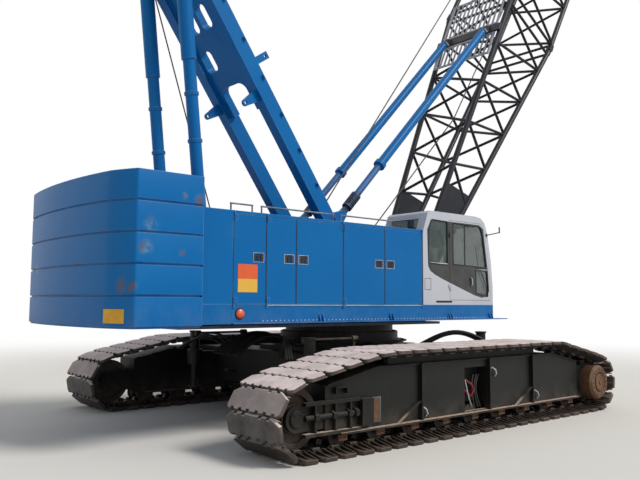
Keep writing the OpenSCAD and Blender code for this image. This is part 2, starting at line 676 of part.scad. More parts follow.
// Window in the sloping rear of the roof, and a strip along that slope between two depths
rear_pane_y = [-half_w + 170, cab_in_y - 105];
module cab_slope(t0, t1, d0, d1) translate([cab_x0, 3080])
    rotate(atan2(cab_z - 40 - 3080, 590 - cab_x0)) translate([t0, -d1]) square([t1 - t0, d1 - d0]);
module cab_walls() difference() {
    across(-half_w, cab_in_y) polygon(cab_side);
    across(-half_w + cab_t, cab_in_y - cab_t)
        polygon([[cab_x0 + cab_t, cab_floor_z + cab_t], [2404 - cab_t, cab_floor_z + cab_t],
            [2406 - cab_t, 2190], [2360 - cab_t, 2665], [2262 - cab_t, 3145], [2180 - cab_t, 3335],
            [2035, cab_z - 20 - cab_t], [1900, cab_z - cab_t], [660, cab_z - cab_t], [625, cab_z - 85],
            [cab_x0 + cab_t, 3075]]);
    // door opening
    across(-half_w - 1, -half_w + cab_t + 1) difference() {
        polygon([for (p = cab_door_side) [p[0] + (p[0] > 1300 ? door_gap : -door_gap),
            p[1] + (p[1] > 2400 ? door_gap : -door_gap)]]);
    }
    across(-half_w - 1, -half_w + cab_t + 1) polygon(quarter_pane);
    // left side windows, rear window, windscreen and roof window
    across(cab_in_y - cab_t - 1, cab_in_y + 1) polygon(left_pane);
    across(rear_pane_y[0], rear_pane_y[1]) cab_slope(45, 265, -20, 80);
    across(-half_w + 90, cab_in_y - 90) polygon([[2300, 2060], [2450, 2060], [2450, 2700], [2330, 3300],
        [2130, 3300], [2190, 3120], [2270, 2660], [2300, 2200]]);
}

module cab_glass() color([0.25, 0.32, 0.33]) {
    across(-half_w + 12, -half_w + 18) offset(delta = -seat) polygon(quarter_pane);
    across(cab_in_y - 18, cab_in_y - 12) offset(delta = -seat) polygon(left_pane);
    across(-half_w + 90 + seat, cab_in_y - 90 - seat) polygon([[2391, 2060 + seat], [2392, 2190],
        [2347, 2666], [2249, 3152], [2190, 3300 - seat], [2183, 3300 - seat], [2242, 3151], [2340, 2665],
        [2385, 2190], [2384, 2060 + seat]]);
    across(rear_pane_y[0] + seat, rear_pane_y[1] - seat) cab_slope(45 + seat, 265 - seat, 12, 18);
}

module cab_door() color(cab_grey) {
    difference() {
        across(-half_w, -half_w + cab_t) polygon(cab_door_side);
        across(-half_w - 1, -half_w + cab_t + 1) polygon(door_pane);
        across(-half_w - 1, -half_w + cab_t + 1) polygon(low_pane);
    }
    for (z = cab_hinge_z) cab_hinge(1, z - 50 - seat);
}

module door_glass() color([0.25, 0.32, 0.33]) {
    across(-half_w + 12, -half_w + 18) offset(delta = -seat) polygon(door_pane);
    across(-half_w + 12, -half_w + 18) offset(delta = -seat) polygon(low_pane);
}

seat_y = (-half_w + cab_in_y) / 2;
module cab_seat() color("#2b2d30") {
    z = cab_floor_z + cab_t + seat;
    block([900, seat_y - 120, z], [1250, seat_y + 120, z + 300]);
    block([820, seat_y - 240, z + 300], [1340, seat_y + 240, z + 420]);
    translate([860, 0, z + 420]) rotate([0, -12, 0]) block([-60, seat_y - 230, -60], [60, seat_y + 230, 640]);
    block([900, seat_y + 260, z], [1750, seat_y + 400, z + 560]);
}

module mirror_arm() color(steel_black) {
    block([2215, -half_w - 12, 3110], [2255, -half_w - seat, 3160]);
    bar([2235, -half_w - 8, 3135], [2430, -half_w - 150, 3190], 9);
    translate([2430, -half_w - 150, 3178]) cylinder(h = 112, r = 12);
}

rail_r = 12;
rail_h = 100;
// Rails on the edge of the roof: start and end along the machine
rails = [[-3370, -3020], [-2860, -1520], [-1360, -260]];
module handrails() color("#a8b4c0")
    for (s = [-1, 1]) side(s) for (r = rails) {
        y = half_w - 60;
        for (x = r) bar([x, y, house_z + seat], [x, y, house_z + rail_h], rail_r);
        bar([r[0] - rail_r, y, house_z + rail_h], [r[1] + rail_r, y, house_z + rail_h], rail_r);
    }

module lamps() color("orange")
    for (s = [-1, 1]) side(s)
        translate([-3240, half_w + seat, 1722]) rotate([-90, 0, 0]) cylinder(h = 30, r = 45);

// Gantry mast: two box legs joined by a plate with windows, leaning back
plate_s = 4060;
head_part = 620;
module mast_place() {
    translate([mast_x, 0, mast_z]) rotate([0, mast_lean, 0]) rotate([0, 0, 90]) children();
}
// Extrudes an outline drawn along the mast and out of its plane, from y0 to y1
module along_mast(y0, y1) {
    translate([y0, 0, 0]) rotate([90, 0, 90]) linear_extrude(y1 - y0) children();
}
lug_y = 60;
// Small tabs along the outer edge of each mast leg
tab_s = [700 : 650 : mast_l - head_part - 500];
foot_t = 62 - 20 - seat;
h_leg = leg_d / 2;
module mast() color(blue) mast_place() {
    for (s = [-1, 1]) {
        translate([s * leg_y - leg_w / 2, 330, -h_leg]) cube([leg_w, mast_l - head_part - 330, leg_d]);
        for (t = tab_s) translate([s * (leg_y + leg_w / 2 + 20) - 22, t, h_leg - 50]) cube([44, 70, 14]);
        // foot and head lugs
        along_mast(s * leg_y - foot_t, s * leg_y + foot_t) ear([0, 0], 100, [360, -h_leg], [360, h_leg]);
        along_mast(s * leg_y - lug_y, s * leg_y + lug_y)
            ear([mast_l, 0], 140, [mast_l - head_part - 40, h_leg], [mast_l - head_part - 40, -h_leg]);
        // arms with a hole, out of the mast's rear and front faces
        along_mast(s * leg_y - 25, s * leg_y + 25) difference() {
            union() {
                ear([3780, -h_leg - 260], 55, [3880, -h_leg + 10], [3680, -h_leg + 10]);
                translate([4190, h_leg - 10]) square([120, 330]);
            }
            translate([3780, -h_leg - 260]) circle(r = 28);
            translate([4250, h_leg + 260]) circle(r = 28);
        }
        // ears for the backstop's foot
        for (y = [-backstop_ear, backstop_ear])
            along_mast(s * backstop_y + y - 17, s * backstop_y + y + 17)
                ear([backstop_s, backstop_n], 70, [backstop_s - 170, h_leg - 20], [backstop_s + 170, h_leg - 20]);
    }
    // plate between the legs, with its windows
    translate([0, 0, -60]) linear_extrude(120) difference() {
        translate([-leg_y + leg_w / 2 - 1, plate_s - 500])
            square([2 * leg_y - leg_w + 2, mast_l - 330 - plate_s + 500]);
        translate([0, plate_s - 550]) polygon(rounded(640, 1100, 150));
        translate([250, plate_s + 480]) polygon(rounded(300, 340, 80));
        translate([-170, plate_s + 1140]) polygon(rounded(270, 380, 80));
        translate([200, plate_s + 1140]) polygon(rounded(270, 380, 80));
    }
}

// Place of the backstops' foot, in the mast's own frame: along the leg and out of its plane
backstop_foot = [-440, 3390];
backstop_y = 530;
backstop_ear = 55;
foot_v = backstop_foot - [mast_x, mast_z];
backstop_s = -foot_v[0] * cos(mast_lean) + foot_v[1] * sin(mast_lean);
backstop_n = foot_v[0] * sin(mast_lean) + foot_v[1] * cos(mast_lean);

// Rear legs, from the frame's rear end to the mast's head
apex = [mast_x - mast_l * cos(mast_lean), mast_z + mast_l * sin(mast_lean)];
rear_y = leg_y + 10;
fork_y = lug_y + 18 + seat;
fork_l = 640;
// Collars round each rear leg, as distances from its foot
collars = [700, 2100, 2800];
module rear_legs() color(blue) for (s = [-1, 1]) side(s) {
    foot = [rear_leg_x, rear_y, mast_z];
    head = [apex[0], rear_y, apex[1]];
    v = (head - foot) / norm(head - foot);
    l = norm(head - foot);
    neck = [apex[0] - v[0] * fork_l, apex[1] - v[2] * fork_l];
    bar(foot + v * 180, foot + v * (l - fork_l), 92);
    bar(foot + v * (l - 1950), foot + v * (l - fork_l), 112);
    for (c = collars) bar(foot + v * c, foot + v * (c + 45), 108);
    // foot lug between its ears
    across(rear_y - foot_t, rear_y + foot_t)
        link([rear_leg_x, mast_z], 90, [rear_leg_x + v[0] * 230, mast_z + v[2] * 230], 80);
    // fork round the mast's head lug
    for (y = [leg_y - fork_y, leg_y + fork_y]) across(y - 18, y + 18) link(apex, 120, neck, 100);
    across(leg_y - fork_y - 10, leg_y + fork_y + 10) translate(neck) circle(r = 100);
}

// Sheaves at the gantry's head, on one shaft through the mast's lugs
sheave_r = 300;
groove = 20;
module sheave_row(n, pitch, r) {
    for (i = [0 : n - 1]) translate([0, 0, (i - (n - 1) / 2) * pitch]) rotate_extrude()
        polygon([[0, -22], [r, -22], [r - groove, -14.5], [r - groove, 14.5], [r, 22], [0, 22]]);
}
module gantry_sheaves() color(steel_black)
    translate([apex[0], 0, apex[1]]) rotate([90, 0, 0]) {
        sheave_row(8, 60, sheave_r);
        cylinder(h = 2 * (leg_y - fork_y - 18 - seat), r = 55, center = true);
    }

// Boom, drawn along X from its foot pin, with Z out of its rear face
module boom_place() {
    translate([boom_x, 0, boom_z]) rotate([0, -boom_angle, 0]) children();
}
straight_l = 7200;
head_w = 900;
head_d = 520;
head_u = head_l - straight_l - 350;
// Middle of a chord at the distance s: side 1 left or -1 right, face 1 rear or -1 front
function chord(s, sy, sd) =
    let (t = min(s / base_l, 1), u = max(0, s - base_l - straight_l) / head_u)
        [s, sy * (foot_w + (boom_w - foot_w) * t + (head_w - boom_w) * u) / 2,
            sd * (foot_d + (boom_d - foot_d) * t + (head_d - boom_d) * u) / 2];
node_s0 = 2250;
base_end = base_l - 130;
// Zigzag lacing of all four faces from s0, in bays of length b. The right front and left rear
// chords share their nodes, and the other two chords have theirs half a bay on
module zigzag(s0, b, n) {
    for (k = [0 : n - 1], e = [-1, 1]) {
        p = s0 + k * b;
        q = p + b / 2;
        lace(chord(p, e, e), chord(q, e, -e), lace_r);
        lace(chord(q, e, -e), chord(p + b, e, e), lace_r);
        lace(chord(p, e, e), chord(q, -e, e), lace_r);
        lace(chord(q, -e, e), chord(p + b, e, e), lace_r);
    }
}
module frame_ring(s, r) {
    for (e = [-1, 1]) {
        lace(chord(s, e, -1), chord(s, e, 1), r);
        lace(chord(s, -1, e), chord(s, 1, e), r);
    }
}
// Four chord tubes from s0 to s1
module chords(s0, s1) {
    for (sy = [-1, 1], sd = [-1, 1]) bar(chord(s0, sy, sd), chord(s1, sy, sd), chord_r);
}
gusset_s = 2330;
side_a = atan((boom_w - foot_w) / 2 / base_l);
face_a = atan((boom_d - foot_d) / 2 / base_l);
chord_s0 = 290;
module boom_base() color(steel_black) boom_place() {
    difference() {
        union() {
            chords(chord_s0, base_end + 60);
            for (sy = [-1, 1]) {
                // foot lug, with a collar that joins it to the chords
                translate([0, sy * foot_y, 0]) {
                    across(-lug_half, lug_half) ear([0, 0], 150, [360, -130], [360, 130]);
                    block([chord_s0 - 10, -70, -215], [chord_s0 + 130, 80, 215]);
                    rotate([0, 0, sy * side_a]) across(-14, 14) polygon([[chord_s0, -150],
                        [gusset_s + 170, -foot_d / 2 - (gusset_s + 170) * tan(face_a)],
                        [gusset_s, foot_d / 2 + gusset_s * tan(face_a)], [chord_s0, 150]]);
                }
            }
            zigzag(node_s0, bay, 4);
            for (e = [-1, 1]) {
                lace(chord(node_s0 + 4 * bay, e, e), chord(node_s0 + 4.5 * bay, e, -e), lace_r);
                lace(chord(node_s0 + 4 * bay, e, e), chord(node_s0 + 4.5 * bay, -e, e), lace_r);
            }
            frame_ring(base_end - 20, lace_r);
            frame_ring(1350, 45);
        }
        for (sy = [-1, 1]) translate([0, sy * foot_y, 0]) rotate([90, 0, 0])
            cylinder(h = 200, r = boom_pin_r + 0.1, center = true);
    }
    // lugs of the section joint
    for (sy = [-1, 1], sd = [-1, 1]) translate(chord(base_l, sy, sd)) across(-22, 22)
        ear([0, 0], 62, [-150, 50], [-150, -50]);
}

// Upper section: straight for most of its length, then drawn in to the head
head_start = base_l + 130;
tip = base_l + head_l;
head_bays = 6;
top_s = base_l + straight_l;
node_top = base_l + 220;
head_bay = (top_s - node_top) / head_bays;
module boom_head() color(steel_black) boom_place() {
    chords(head_start - 60, top_s);
    chords(top_s, top_s + head_u);
    for (sy = [-1, 1], sd = [-1, 1]) {
        for (y = [-37 - seat, 37 + seat]) translate(chord(base_l, sy, sd) + [0, y, 0])
            across(-15, 15) ear([0, 0], 62, [150, -50], [150, 50]);
        // sleeve where the chords turn in towards the head
        bar(chord(top_s - 60, sy, sd), chord(top_s, sy, sd) + [60, 0, 0], chord_r + 14);
    }
    zigzag(node_top, head_bay, head_bays);
    zigzag(top_s, head_u / 3, 3);
    frame_ring(head_start + 20, lace_r);
    // head plates that carry the sheaves, each with a bore for a jib's pin
    for (sy = [-1, 1]) across(sy * head_w / 2 - 20, sy * head_w / 2 + 20) difference() {
        b0 = [tip - 420, -head_d / 2 - 40];
        b1 = [tip - 420, head_d / 2 + 40];
        union() {
            link([tip, head_drop], 150, [tip - 60, stay_d], 90);
            polygon([b0, touch(b0, [tip, head_drop], 149, -1), [tip, head_drop], [tip - 60, stay_d],
                touch(b1, [tip - 60, stay_d], 89, 1), b1]);
        }
        translate([tip - 35, 90]) circle(r = jib_r);
    }
    translate([tip - 400, 0, 0]) block([-30, -head_w / 2, -head_d / 2 - 40], [30, head_w / 2, head_d / 2 + 40]);
}
head_drop = -600;
jib_r = 40;
stay_d = 300;
tip_sheave_r = 290;
module boom_sheaves() color(steel_black) boom_place() {
    translate([tip, 0, head_drop]) rotate([90, 0, 0]) {
        sheave_row(4, 90, tip_sheave_r);
        cylinder(h = head_w - 40 - 2 * seat, r = 55, center = true);
    }
}

// Cross beam that takes the backstops, with a grating above and below it
beam_s = base_l - 900;
beam_h = chord(beam_s, 1, 1)[2];
eye_s = beam_s - 80;
eye_d = beam_h + 173.84;
eye_r = 70;
// The gratings reach from the beam down and up the boom
grate_s0 = -700;
grate_s1 = 1150;
module boom_walkway() color(steel_black) boom_place() {
    y1 = boom_w / 2 - 110;
    z0 = chord_r + seat;
    beam_y1 = chord(beam_s, 1, 1)[1] + 50;
    // the beam and gratings lie on the rear chords
    translate([beam_s, 0, chord(beam_s, 1, 1)[2]]) rotate([0, -face_a, 0]) {
        block([-90, -beam_y1, z0], [90, beam_y1, z0 + 50]);
        for (r = [[grate_s0, -120], [120, grate_s1]]) difference() {
            block([r[0], -y1, z0 + 8], [r[1], y1, z0 + 38]);
            for (i = [0 : 11]) block([r[0] + 40, -y1 + 40 + i * (2 * y1 - 80) / 12, z0],
                [r[1] - 40, -y1 + 40 + i * (2 * y1 - 80) / 12 + 90, z0 + 60]);
        }
        for (s = [-1, 1]) block([grate_s0, s * (y1 - 20) - 20, z0], [grate_s1, s * (y1 - 20) + 20, z0 + 30]);
    }
    // ears that take the backstops' eyes
    for (s = [-1, 1], y = [-backstop_ear, backstop_ear])
        across(s * backstop_y + y - 17, s * backstop_y + y + 17)
            ear([eye_s, eye_d], eye_r, [beam_s - 80, beam_h + 74], [beam_s + 80, beam_h + 90]);
}

// Backstops: a tube hung from the boom and a sprung rod that slides in it
eye = [boom_x + eye_s * cos(boom_angle) - eye_d * sin(boom_angle),
    boom_z + eye_s * sin(boom_angle) + eye_d * cos(boom_angle)];
strut_v = eye - backstop_foot;
strut_l = norm(strut_v);
strut_a = atan2(strut_v[1], strut_v[0]);
tube_r = 84;
rod_r = 62;
collar_u = 1370;
boss_t = backstop_ear - 17 - seat;
module strut_place(s) {
    translate([backstop_foot[0], s * backstop_y, backstop_foot[1]]) rotate([0, -strut_a, 0]) children();
}
module turned(u0, u1, r_in, r_out) {
    rotate([0, 90, 0]) translate([0, 0, u0]) rotate_extrude()
        polygon([[r_in, 0], [r_out, 0], [r_out, u1 - u0], [r_in, u1 - u0]]);
}
module backstop_tubes() color(blue) for (s = [-1, 1]) strut_place(s) {
    difference() {
        union() {
            turned(collar_u, strut_l - 130, 0, tube_r);
            turned(collar_u - 20, collar_u + 60, 0, tube_r + 26);
            across(-boss_t, boss_t) ear([strut_l, 0], eye_r - 6, [strut_l - 180, 50], [strut_l - 180, -50]);
        }
        turned(collar_u - 40, strut_l - 900, 0, rod_r + 0.6);
        turned(collar_u + 60, strut_l - 900, 0, rod_r + 6);
    }
}
spring_r = 92;
spring_turns = 7;
// The neck below this passes between the mast's ears as the boom luffs
neck_u = 190;
spring_u0 = neck_u + 30;
spring_u1 = spring_u0 + 270;
rod_end = 3300;
module backstop_rods() color(blue) for (s = [-1, 1]) strut_place(s) {
    turned(neck_u, rod_end, 0, rod_r);
    across(-boss_t, boss_t) ear([0, 0], 64, [neck_u + 20, -45], [neck_u + 20, 45]);
    turned(spring_u0 - 30, spring_u0, rod_r - 5, spring_r);
    turned(spring_u1, spring_u1 + 30, rod_r - 5, spring_r);
    for (i = [0 : spring_turns - 1])
        turned(spring_u0 + (i + 0.25) * (spring_u1 - spring_u0) / spring_turns,
            spring_u0 + (i + 0.75) * (spring_u1 - spring_u0) / spring_turns, rod_r - 5, spring_r);
}

// Main stays from the boom's head back to the spreader
stay_pin = [boom_x + (tip - 60) * cos(boom_angle) - stay_d * sin(boom_angle),
    boom_z + (tip - 60) * sin(boom_angle) + stay_d * cos(boom_angle)];
stay_v = apex - stay_pin;
stay_a = atan2(stay_v[1], stay_v[0]);
stay_l = 13400;
stay_y = head_w / 2 + 80;
stay_r = 22;
module main_stays() color(steel_black)
    translate([stay_pin[0], 0, stay_pin[1]]) rotate([0, -stay_a, 0]) {
        for (s = [-1, 1]) {
            bar([60, s * stay_y, 0], [stay_l - 80, s * stay_y, 0], stay_r);
            across(s * stay_y - 25, s * stay_y + 25) {
                link([0, 0], 80, [180, 0], 45);
                link([stay_l, 0], 90, [stay_l - 240, 0], 50);
            }
        }
        bar([0, -stay_y, 0], [0, -head_w / 2 - 20 - seat, 0], 45);
        bar([0, head_w / 2 + 20 + seat, 0], [0, stay_y, 0], 45);
        bar([stay_l, -stay_y, 0], [stay_l, stay_y, 0], 50);
        translate([stay_l, 0, 0]) rotate([90, 0, 0]) sheave_row(8, 60, sheave_r - 60);
    }

// Hook block hung under the boom's head
tip_point = [boom_x + tip * cos(boom_angle) - head_drop * sin(boom_angle),
    boom_z + tip * sin(boom_angle) + head_drop * cos(boom_angle)];
hook_drop = 2600;
fall_r = 13;
module hook_falls() color(steel_black)
    for (i = [-1.5 : 1 : 1.5], s = [-1, 1])
        bar([tip_point[0] + s * (tip_sheave_r - groove + fall_r + 0.6), i * 90, tip_point[1]],
            [tip_point[0] + s * block_r, i * 90, tip_point[1] - hook_drop], fall_r);
block_r = 200;
module hook_block() color("#b08a2a") translate([tip_point[0], 0, tip_point[1] - hook_drop]) {
    rotate([90, 0, 0]) sheave_row(4, 90, block_r - fall_r - seat + groove);
    for (y = [-190, 190]) across(y - 15, y + 15) link([0, 0], 170, [0, -420], 110);
    rotate([90, 0, 0]) cylinder(h = 380, r = 50, center = true);
    translate([0, 0, -420]) rotate([90, 0, 0]) cylinder(h = 380, r = 70, center = true);
    translate([0, 0, -640]) cylinder(h = 240, r = 55);
    translate([0, 0, -760]) rotate([90, 0, 0]) rotate_extrude(angle = 240, start = 90)
        translate([150, 0]) circle(r = 48);
}

carbody();
slew_ring();
color(steel_black) side(-1) track_frame();  // frame_right
color(steel_black) side(1) track_frame();  // frame_left
color(shoe_colour) side(-1) track();  // track_right
color(shoe_colour) side(1) track();  // track_left
color(steel_black) for (s = [-1, 1]) side(s) idler();  // idlers
color(steel_black) for (s = [-1, 1]) side(s) sprocket();  // sprockets
color("#6b5140") for (s = [-1, 1]) side(s) drive();  // drives
color(steel_black) rollers();
jacks();
upper_frame();
side(-1) sill();  // sill_right
side(1) sill();  // sill_left
weight(0);  // weight_1
weight(1);  // weight_2
weight(2);  // weight_3
weight(3);  // weight_4
weight(4);  // weight_5
side(-1) house();  // house_right
side(1) house();  // house_left
side(-1) house_door(0);  // door_right_1
side(-1) house_door(1);  // door_right_2
side(-1) house_door(2);  // door_right_3
side(-1) house_door(3);  // door_right_4
side(-1) house_door(4);  // door_right_5
side(1) house_door(0);  // door_left_1
side(1) house_door(1);  // door_left_2
side(1) house_door(2, louvres = true);  // door_left_3
side(1) house_door(3);  // door_left_4
side(1) house_door(4);  // door_left_5
winches();
engine();
cab_shell();
cab_glass();
cab_door();
door_glass();
cab_seat();
mirror_arm();  // mirror
handrails();
lamps();
mast();
rear_legs();
gantry_sheaves();
boom_base();
boom_head();
boom_sheaves();
boom_walkway();
backstop_tubes();
backstop_rods();
main_stays();
hook_falls();
hook_block();
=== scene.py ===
"""Looks of the crawler crane: finishes for the built nodes, finer tracks and counterweight, rope work, seat and trim.

X points forward, Y to the machine's left, Z up, and lengths are in metres.
"""
import bpy
import numpy as np
from mathutils import Matrix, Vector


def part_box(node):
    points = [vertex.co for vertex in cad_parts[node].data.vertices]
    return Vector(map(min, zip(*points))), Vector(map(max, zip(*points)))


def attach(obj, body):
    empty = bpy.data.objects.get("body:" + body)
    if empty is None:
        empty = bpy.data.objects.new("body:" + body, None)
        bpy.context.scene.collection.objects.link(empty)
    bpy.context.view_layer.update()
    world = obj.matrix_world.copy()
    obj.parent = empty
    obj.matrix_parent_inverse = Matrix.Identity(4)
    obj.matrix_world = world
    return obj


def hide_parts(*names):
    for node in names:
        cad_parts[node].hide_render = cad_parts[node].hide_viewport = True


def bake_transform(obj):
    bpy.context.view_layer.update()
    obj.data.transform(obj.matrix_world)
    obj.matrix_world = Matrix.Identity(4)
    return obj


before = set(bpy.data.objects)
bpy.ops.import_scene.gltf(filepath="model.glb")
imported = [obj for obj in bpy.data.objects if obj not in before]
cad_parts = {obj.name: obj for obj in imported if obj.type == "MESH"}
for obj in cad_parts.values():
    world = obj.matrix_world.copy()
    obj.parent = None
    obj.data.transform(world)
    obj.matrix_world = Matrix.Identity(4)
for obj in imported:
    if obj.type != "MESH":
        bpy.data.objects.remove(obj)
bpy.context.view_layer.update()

# Sizes of the built crane that the pieces here lie on
GAUGE, IDLER_X, SPROCKET_X, HINGE_R, SHOE_T, SHOE_W, SHOE_N = 5.18, -3.26, 3.48, 0.44, 0.05, 1.07, 53
RUN_Z, RUN_REAR_X, RUN_FRONT_X = 1.205, -1.94, 2.23
AXLE_Z = HINGE_R + SHOE_T
HALF_W, DECK_Z = 1.6, 1.848
BLOCK_Z, BLOCK_PITCH = 1.550, 0.386
TAIL_R, TAIL_X, TAIL_ROUND_Y, WING_X = 8.115, 5.125, 1.30, -3.915
TAIL_CORNER, TAIL_BEVEL = (-4.835, -1.75), (-0.462, 0.9)
BOOM_FOOT = np.array([1.472, 0, 2.08])
BOOM_ANGLE = np.radians(59.6)
GANTRY = np.array([-3.711, 0, 7.37])
TIP = np.array([11.2499, 0, 17.5604])
STAY_PIN = np.array([10.4433, 0, 17.9641])
STAY_L = 13.4
BEAM_S, BEAM_HALF, SPRING_TOP_Z = 6.15, 0.11, 3.81

# Sizes of the pieces added here that several of them share: rope, the two bands of the sign, a fitting's air gap
ROPE_R, SIGN_SPLIT_Z, PROUD = 0.013, 2.19, 0.0005

# Camera of the photograph: its place, its heading from +X towards +Y, its lift and its roll
CAMERA_AT = (-8.63, -9.53, 1.88)
HEADING, LIFT, ROLL = np.radians([49.4, 5.03, 0.3])


def set_camera():
    """The view axes are the heading turned up by the lift, then rolled about the line of sight."""
    level = np.array([np.cos(HEADING), np.sin(HEADING), 0])
    ahead = np.cos(LIFT) * level + np.sin(LIFT) * np.array([0, 0, 1])
    up = -np.sin(LIFT) * level + np.cos(LIFT) * np.array([0, 0, 1])
    side = np.array([np.sin(HEADING), -np.cos(HEADING), 0])
    right = np.cos(ROLL) * side + np.sin(ROLL) * up
    up = -np.sin(ROLL) * side + np.cos(ROLL) * up
    data = bpy.data.cameras.new("view")
    data.sensor_width, data.lens, data.clip_end = 36, 39.82, 300
    view = bpy.data.objects.new("view", data)
    turn = np.column_stack([right, up, -ahead])
    view.matrix_world = Matrix.Translation(CAMERA_AT) @ Matrix(turn.tolist()).to_4x4()
    bpy.context.scene.collection.objects.link(view)
    bpy.context.scene.camera = view


set_camera()
bpy.context.scene.view_settings.view_transform = "Standard"


def tone(r, g, b):
    """A screen colour as the shader's linear colour: below 0.04 a straight line, above it a power of 2.4."""
    return tuple(c / 12.92 if c < 0.04 else ((c + 0.055) / 1.055) ** 2.4 for c in (r, g, b)) + (1.0,)


def feed(tree, slot, value):
    """Links a Value to the socket, or writes a plain number, colour or vector into it."""
    if isinstance(value, Value):
        tree.links.new(value.socket, slot)
    else:
        slot.default_value = value


class Value:
    """One output of a node. Sums and products with it add Math nodes to its finish."""

    def __init__(self, tree, socket):
        self.tree, self.socket = tree, socket

    def math(self, operation, *terms):
        """A Math node over the terms, each a Value or a number."""
        node = self.tree.nodes.new("ShaderNodeMath")
        node.operation = operation
        for slot, term in zip(node.inputs, terms):
            feed(self.tree, slot, term)
        return Value(self.tree, node.outputs[0])

    def __add__(self, other): return self.math("ADD", self, other)
    def __radd__(self, other): return self.math("ADD", other, self)
    def __sub__(self, other): return self.math("SUBTRACT", self, other)
    def __rsub__(self, other): return self.math("SUBTRACT", other, self)
    def __mul__(self, other): return self.math("MULTIPLY", self, other)
    def __rmul__(self, other): return self.math("MULTIPLY", other, self)
    def __truediv__(self, other): return self.math("DIVIDE", self, other)
    def __pow__(self, other): return self.math("POWER", self, other)
    def __gt__(self, other): return self.math("GREATER_THAN", self, other)
    def __lt__(self, other): return self.math("LESS_THAN", self, other)

    def most(self, other): return self.math("MAXIMUM", self, other)
    def least(self, other): return self.math("MINIMUM", self, other)
    def size(self): return self.math("ABSOLUTE", self)
    def wave(self): return self.math("SINE", self)
    def part(self): return self.math("FRACT", self)

    def ramp(self, low, high, to_low=0.0, to_high=1.0):
        """Eases from to_low to to_high while the value goes from low to high."""
        node = self.tree.nodes.new("ShaderNodeMapRange")
        node.interpolation_type = "SMOOTHSTEP"
        self.tree.links.new(self.socket, node.inputs["Value"])
        for slot, number in zip(("From Min", "From Max", "To Min", "To Max"), (low, high, to_low, to_high)):
            node.inputs[slot].default_value = number
        return Value(self.tree, node.outputs["Result"])


class Finish:
    """A material whose pattern is written as expressions on the object's own coordinates."""

    def __init__(self, name, **shader):
        self.material = bpy.data.materials.new(name)
        self.material.use_nodes = True
        self.tree = self.material.node_tree
        self.shader = self.tree.nodes["Principled BSDF"]
        self.place = self.node("ShaderNodeTexCoord", out="Object")
        xyz = self.node("ShaderNodeSeparateXYZ", {}, {"Vector": self.place}, out=None)
        self.x, self.y, self.z = (Value(self.tree, xyz.outputs[i]) for i in range(3))
        self.set(**shader)

    def node(self, kind, settings=None, inputs=None, out=0):
        """Adds a node: its settings first, then its sockets' values or links. Returns one output as a Value."""
        node = self.tree.nodes.new(kind)
        for name, value in (settings or {}).items():
            setattr(node, name, value)
        for name, value in (inputs or {}).items():
            feed(self.tree, node.inputs[name], value)
        return node if out is None else Value(self.tree, node.outputs[out])

    def set(self, **shader):
        """Feeds the shader's sockets, each named with _ for a space."""
        for name, value in shader.items():
            feed(self.tree, self.shader.inputs[name.replace("_", " ").title().replace("Ior", "IOR")], value)

    def stretched(self, scale):
        """The object's coordinates times one number for each axis."""
        return self.node("ShaderNodeVectorMath", {"operation": "MULTIPLY"}, {0: self.place, 1: scale})

    def cloud(self, scale, low=0.35, high=0.65, detail=4.0, stretch=(1, 1, 1)):
        """Soft noise from 0 to 1 with about `scale` patches a metre."""
        inputs = {"Vector": self.stretched(stretch), "Scale": scale, "Detail": detail, "Roughness": 0.55}
        return self.node("ShaderNodeTexNoise", {}, inputs).ramp(low, high)

    def mix(self, factor, a, b):
        """The colour b laid over the colour a by the factor."""
        return self.node("ShaderNodeMix", {"data_type": "RGBA"}, {0: factor, 6: a, 7: b}, out=2)

    def facing_up(self, low=0.5, high=0.9):
        """1 where the surface looks up."""
        normal = self.node("ShaderNodeTexCoord", out="Normal")
        xyz = self.node("ShaderNodeSeparateXYZ", {}, {"Vector": normal}, out=2)
        return xyz.ramp(low, high)

    def edges(self, radius, low=0.02, high=0.15):
        """1 on sharp edges: how far the rounded normal leaves the flat one."""
        soft = self.node("ShaderNodeBevel", {"samples": 4}, {"Radius": radius})
        flat = self.node("ShaderNodeNewGeometry", out="True Normal")
        dot = self.node("ShaderNodeVectorMath", {"operation": "DOT_PRODUCT"}, {0: soft, 1: flat}, out="Value")
        return (1 - dot).ramp(low, high)

    def bumps(self, height, distance, strength):
        """Tilts the normal as a relief of the height pattern would."""
        inputs = {"Height": height, "Distance": distance, "Strength": strength}
        self.set(Normal=self.node("ShaderNodeBump", {}, inputs))


DUST = tone(0.66, 0.60, 0.54)
RUST = tone(0.36, 0.20, 0.12)


def painted(name, colour, faded, chips=RUST, dust=0.25, wear=0.5, rough=0.38, low=1.5, shine=0.5, over=None):
    """Gloss paint: patches of faded colour, rain streaks, dust that gathers on top faces and from half a metre over
    the height `low` downwards, and chipped edges, with a faint bump. The function `over` lays its own pattern on."""
    f = Finish(name)
    patches = f.cloud(0.9, 0.38, 0.68, 5)
    streaks = f.cloud(6, 0.5, 0.8, 3, (1, 1, 0.12))
    fine = f.cloud(40, 0.35, 0.7, 3)
    up = f.facing_up()
    base = f.mix(patches * 0.45 + streaks * 0.16, colour, faded)
    on_top = up * (0.25 + 0.75 * f.cloud(3, 0.3, 0.7)) * 0.9
    low_down = f.z.ramp(low + 0.5, low) * f.cloud(5, 0.3, 0.75)
    dirt = (on_top + low_down + f.cloud(2.2, 0.6, 0.8, 6) * 0.35).least(1.0) * dust
    chipped = f.edges(0.012) * f.cloud(22, 0.50, 0.62, 4) * wear
    base = f.mix(chipped, f.mix(dirt, base, DUST), chips)
    if over:
        base = over(f, base)
    f.set(Base_Color=base, Roughness=(rough + dirt * 0.5 + chipped * 0.3 + fine * 0.08).least(0.95),
          Specular_IOR_Level=shine, Coat_Weight=shine * 0.2, Coat_Roughness=0.15)
    f.bumps(fine * 0.3 + patches * 0.7, 0.0015, 0.25)
    return f.material


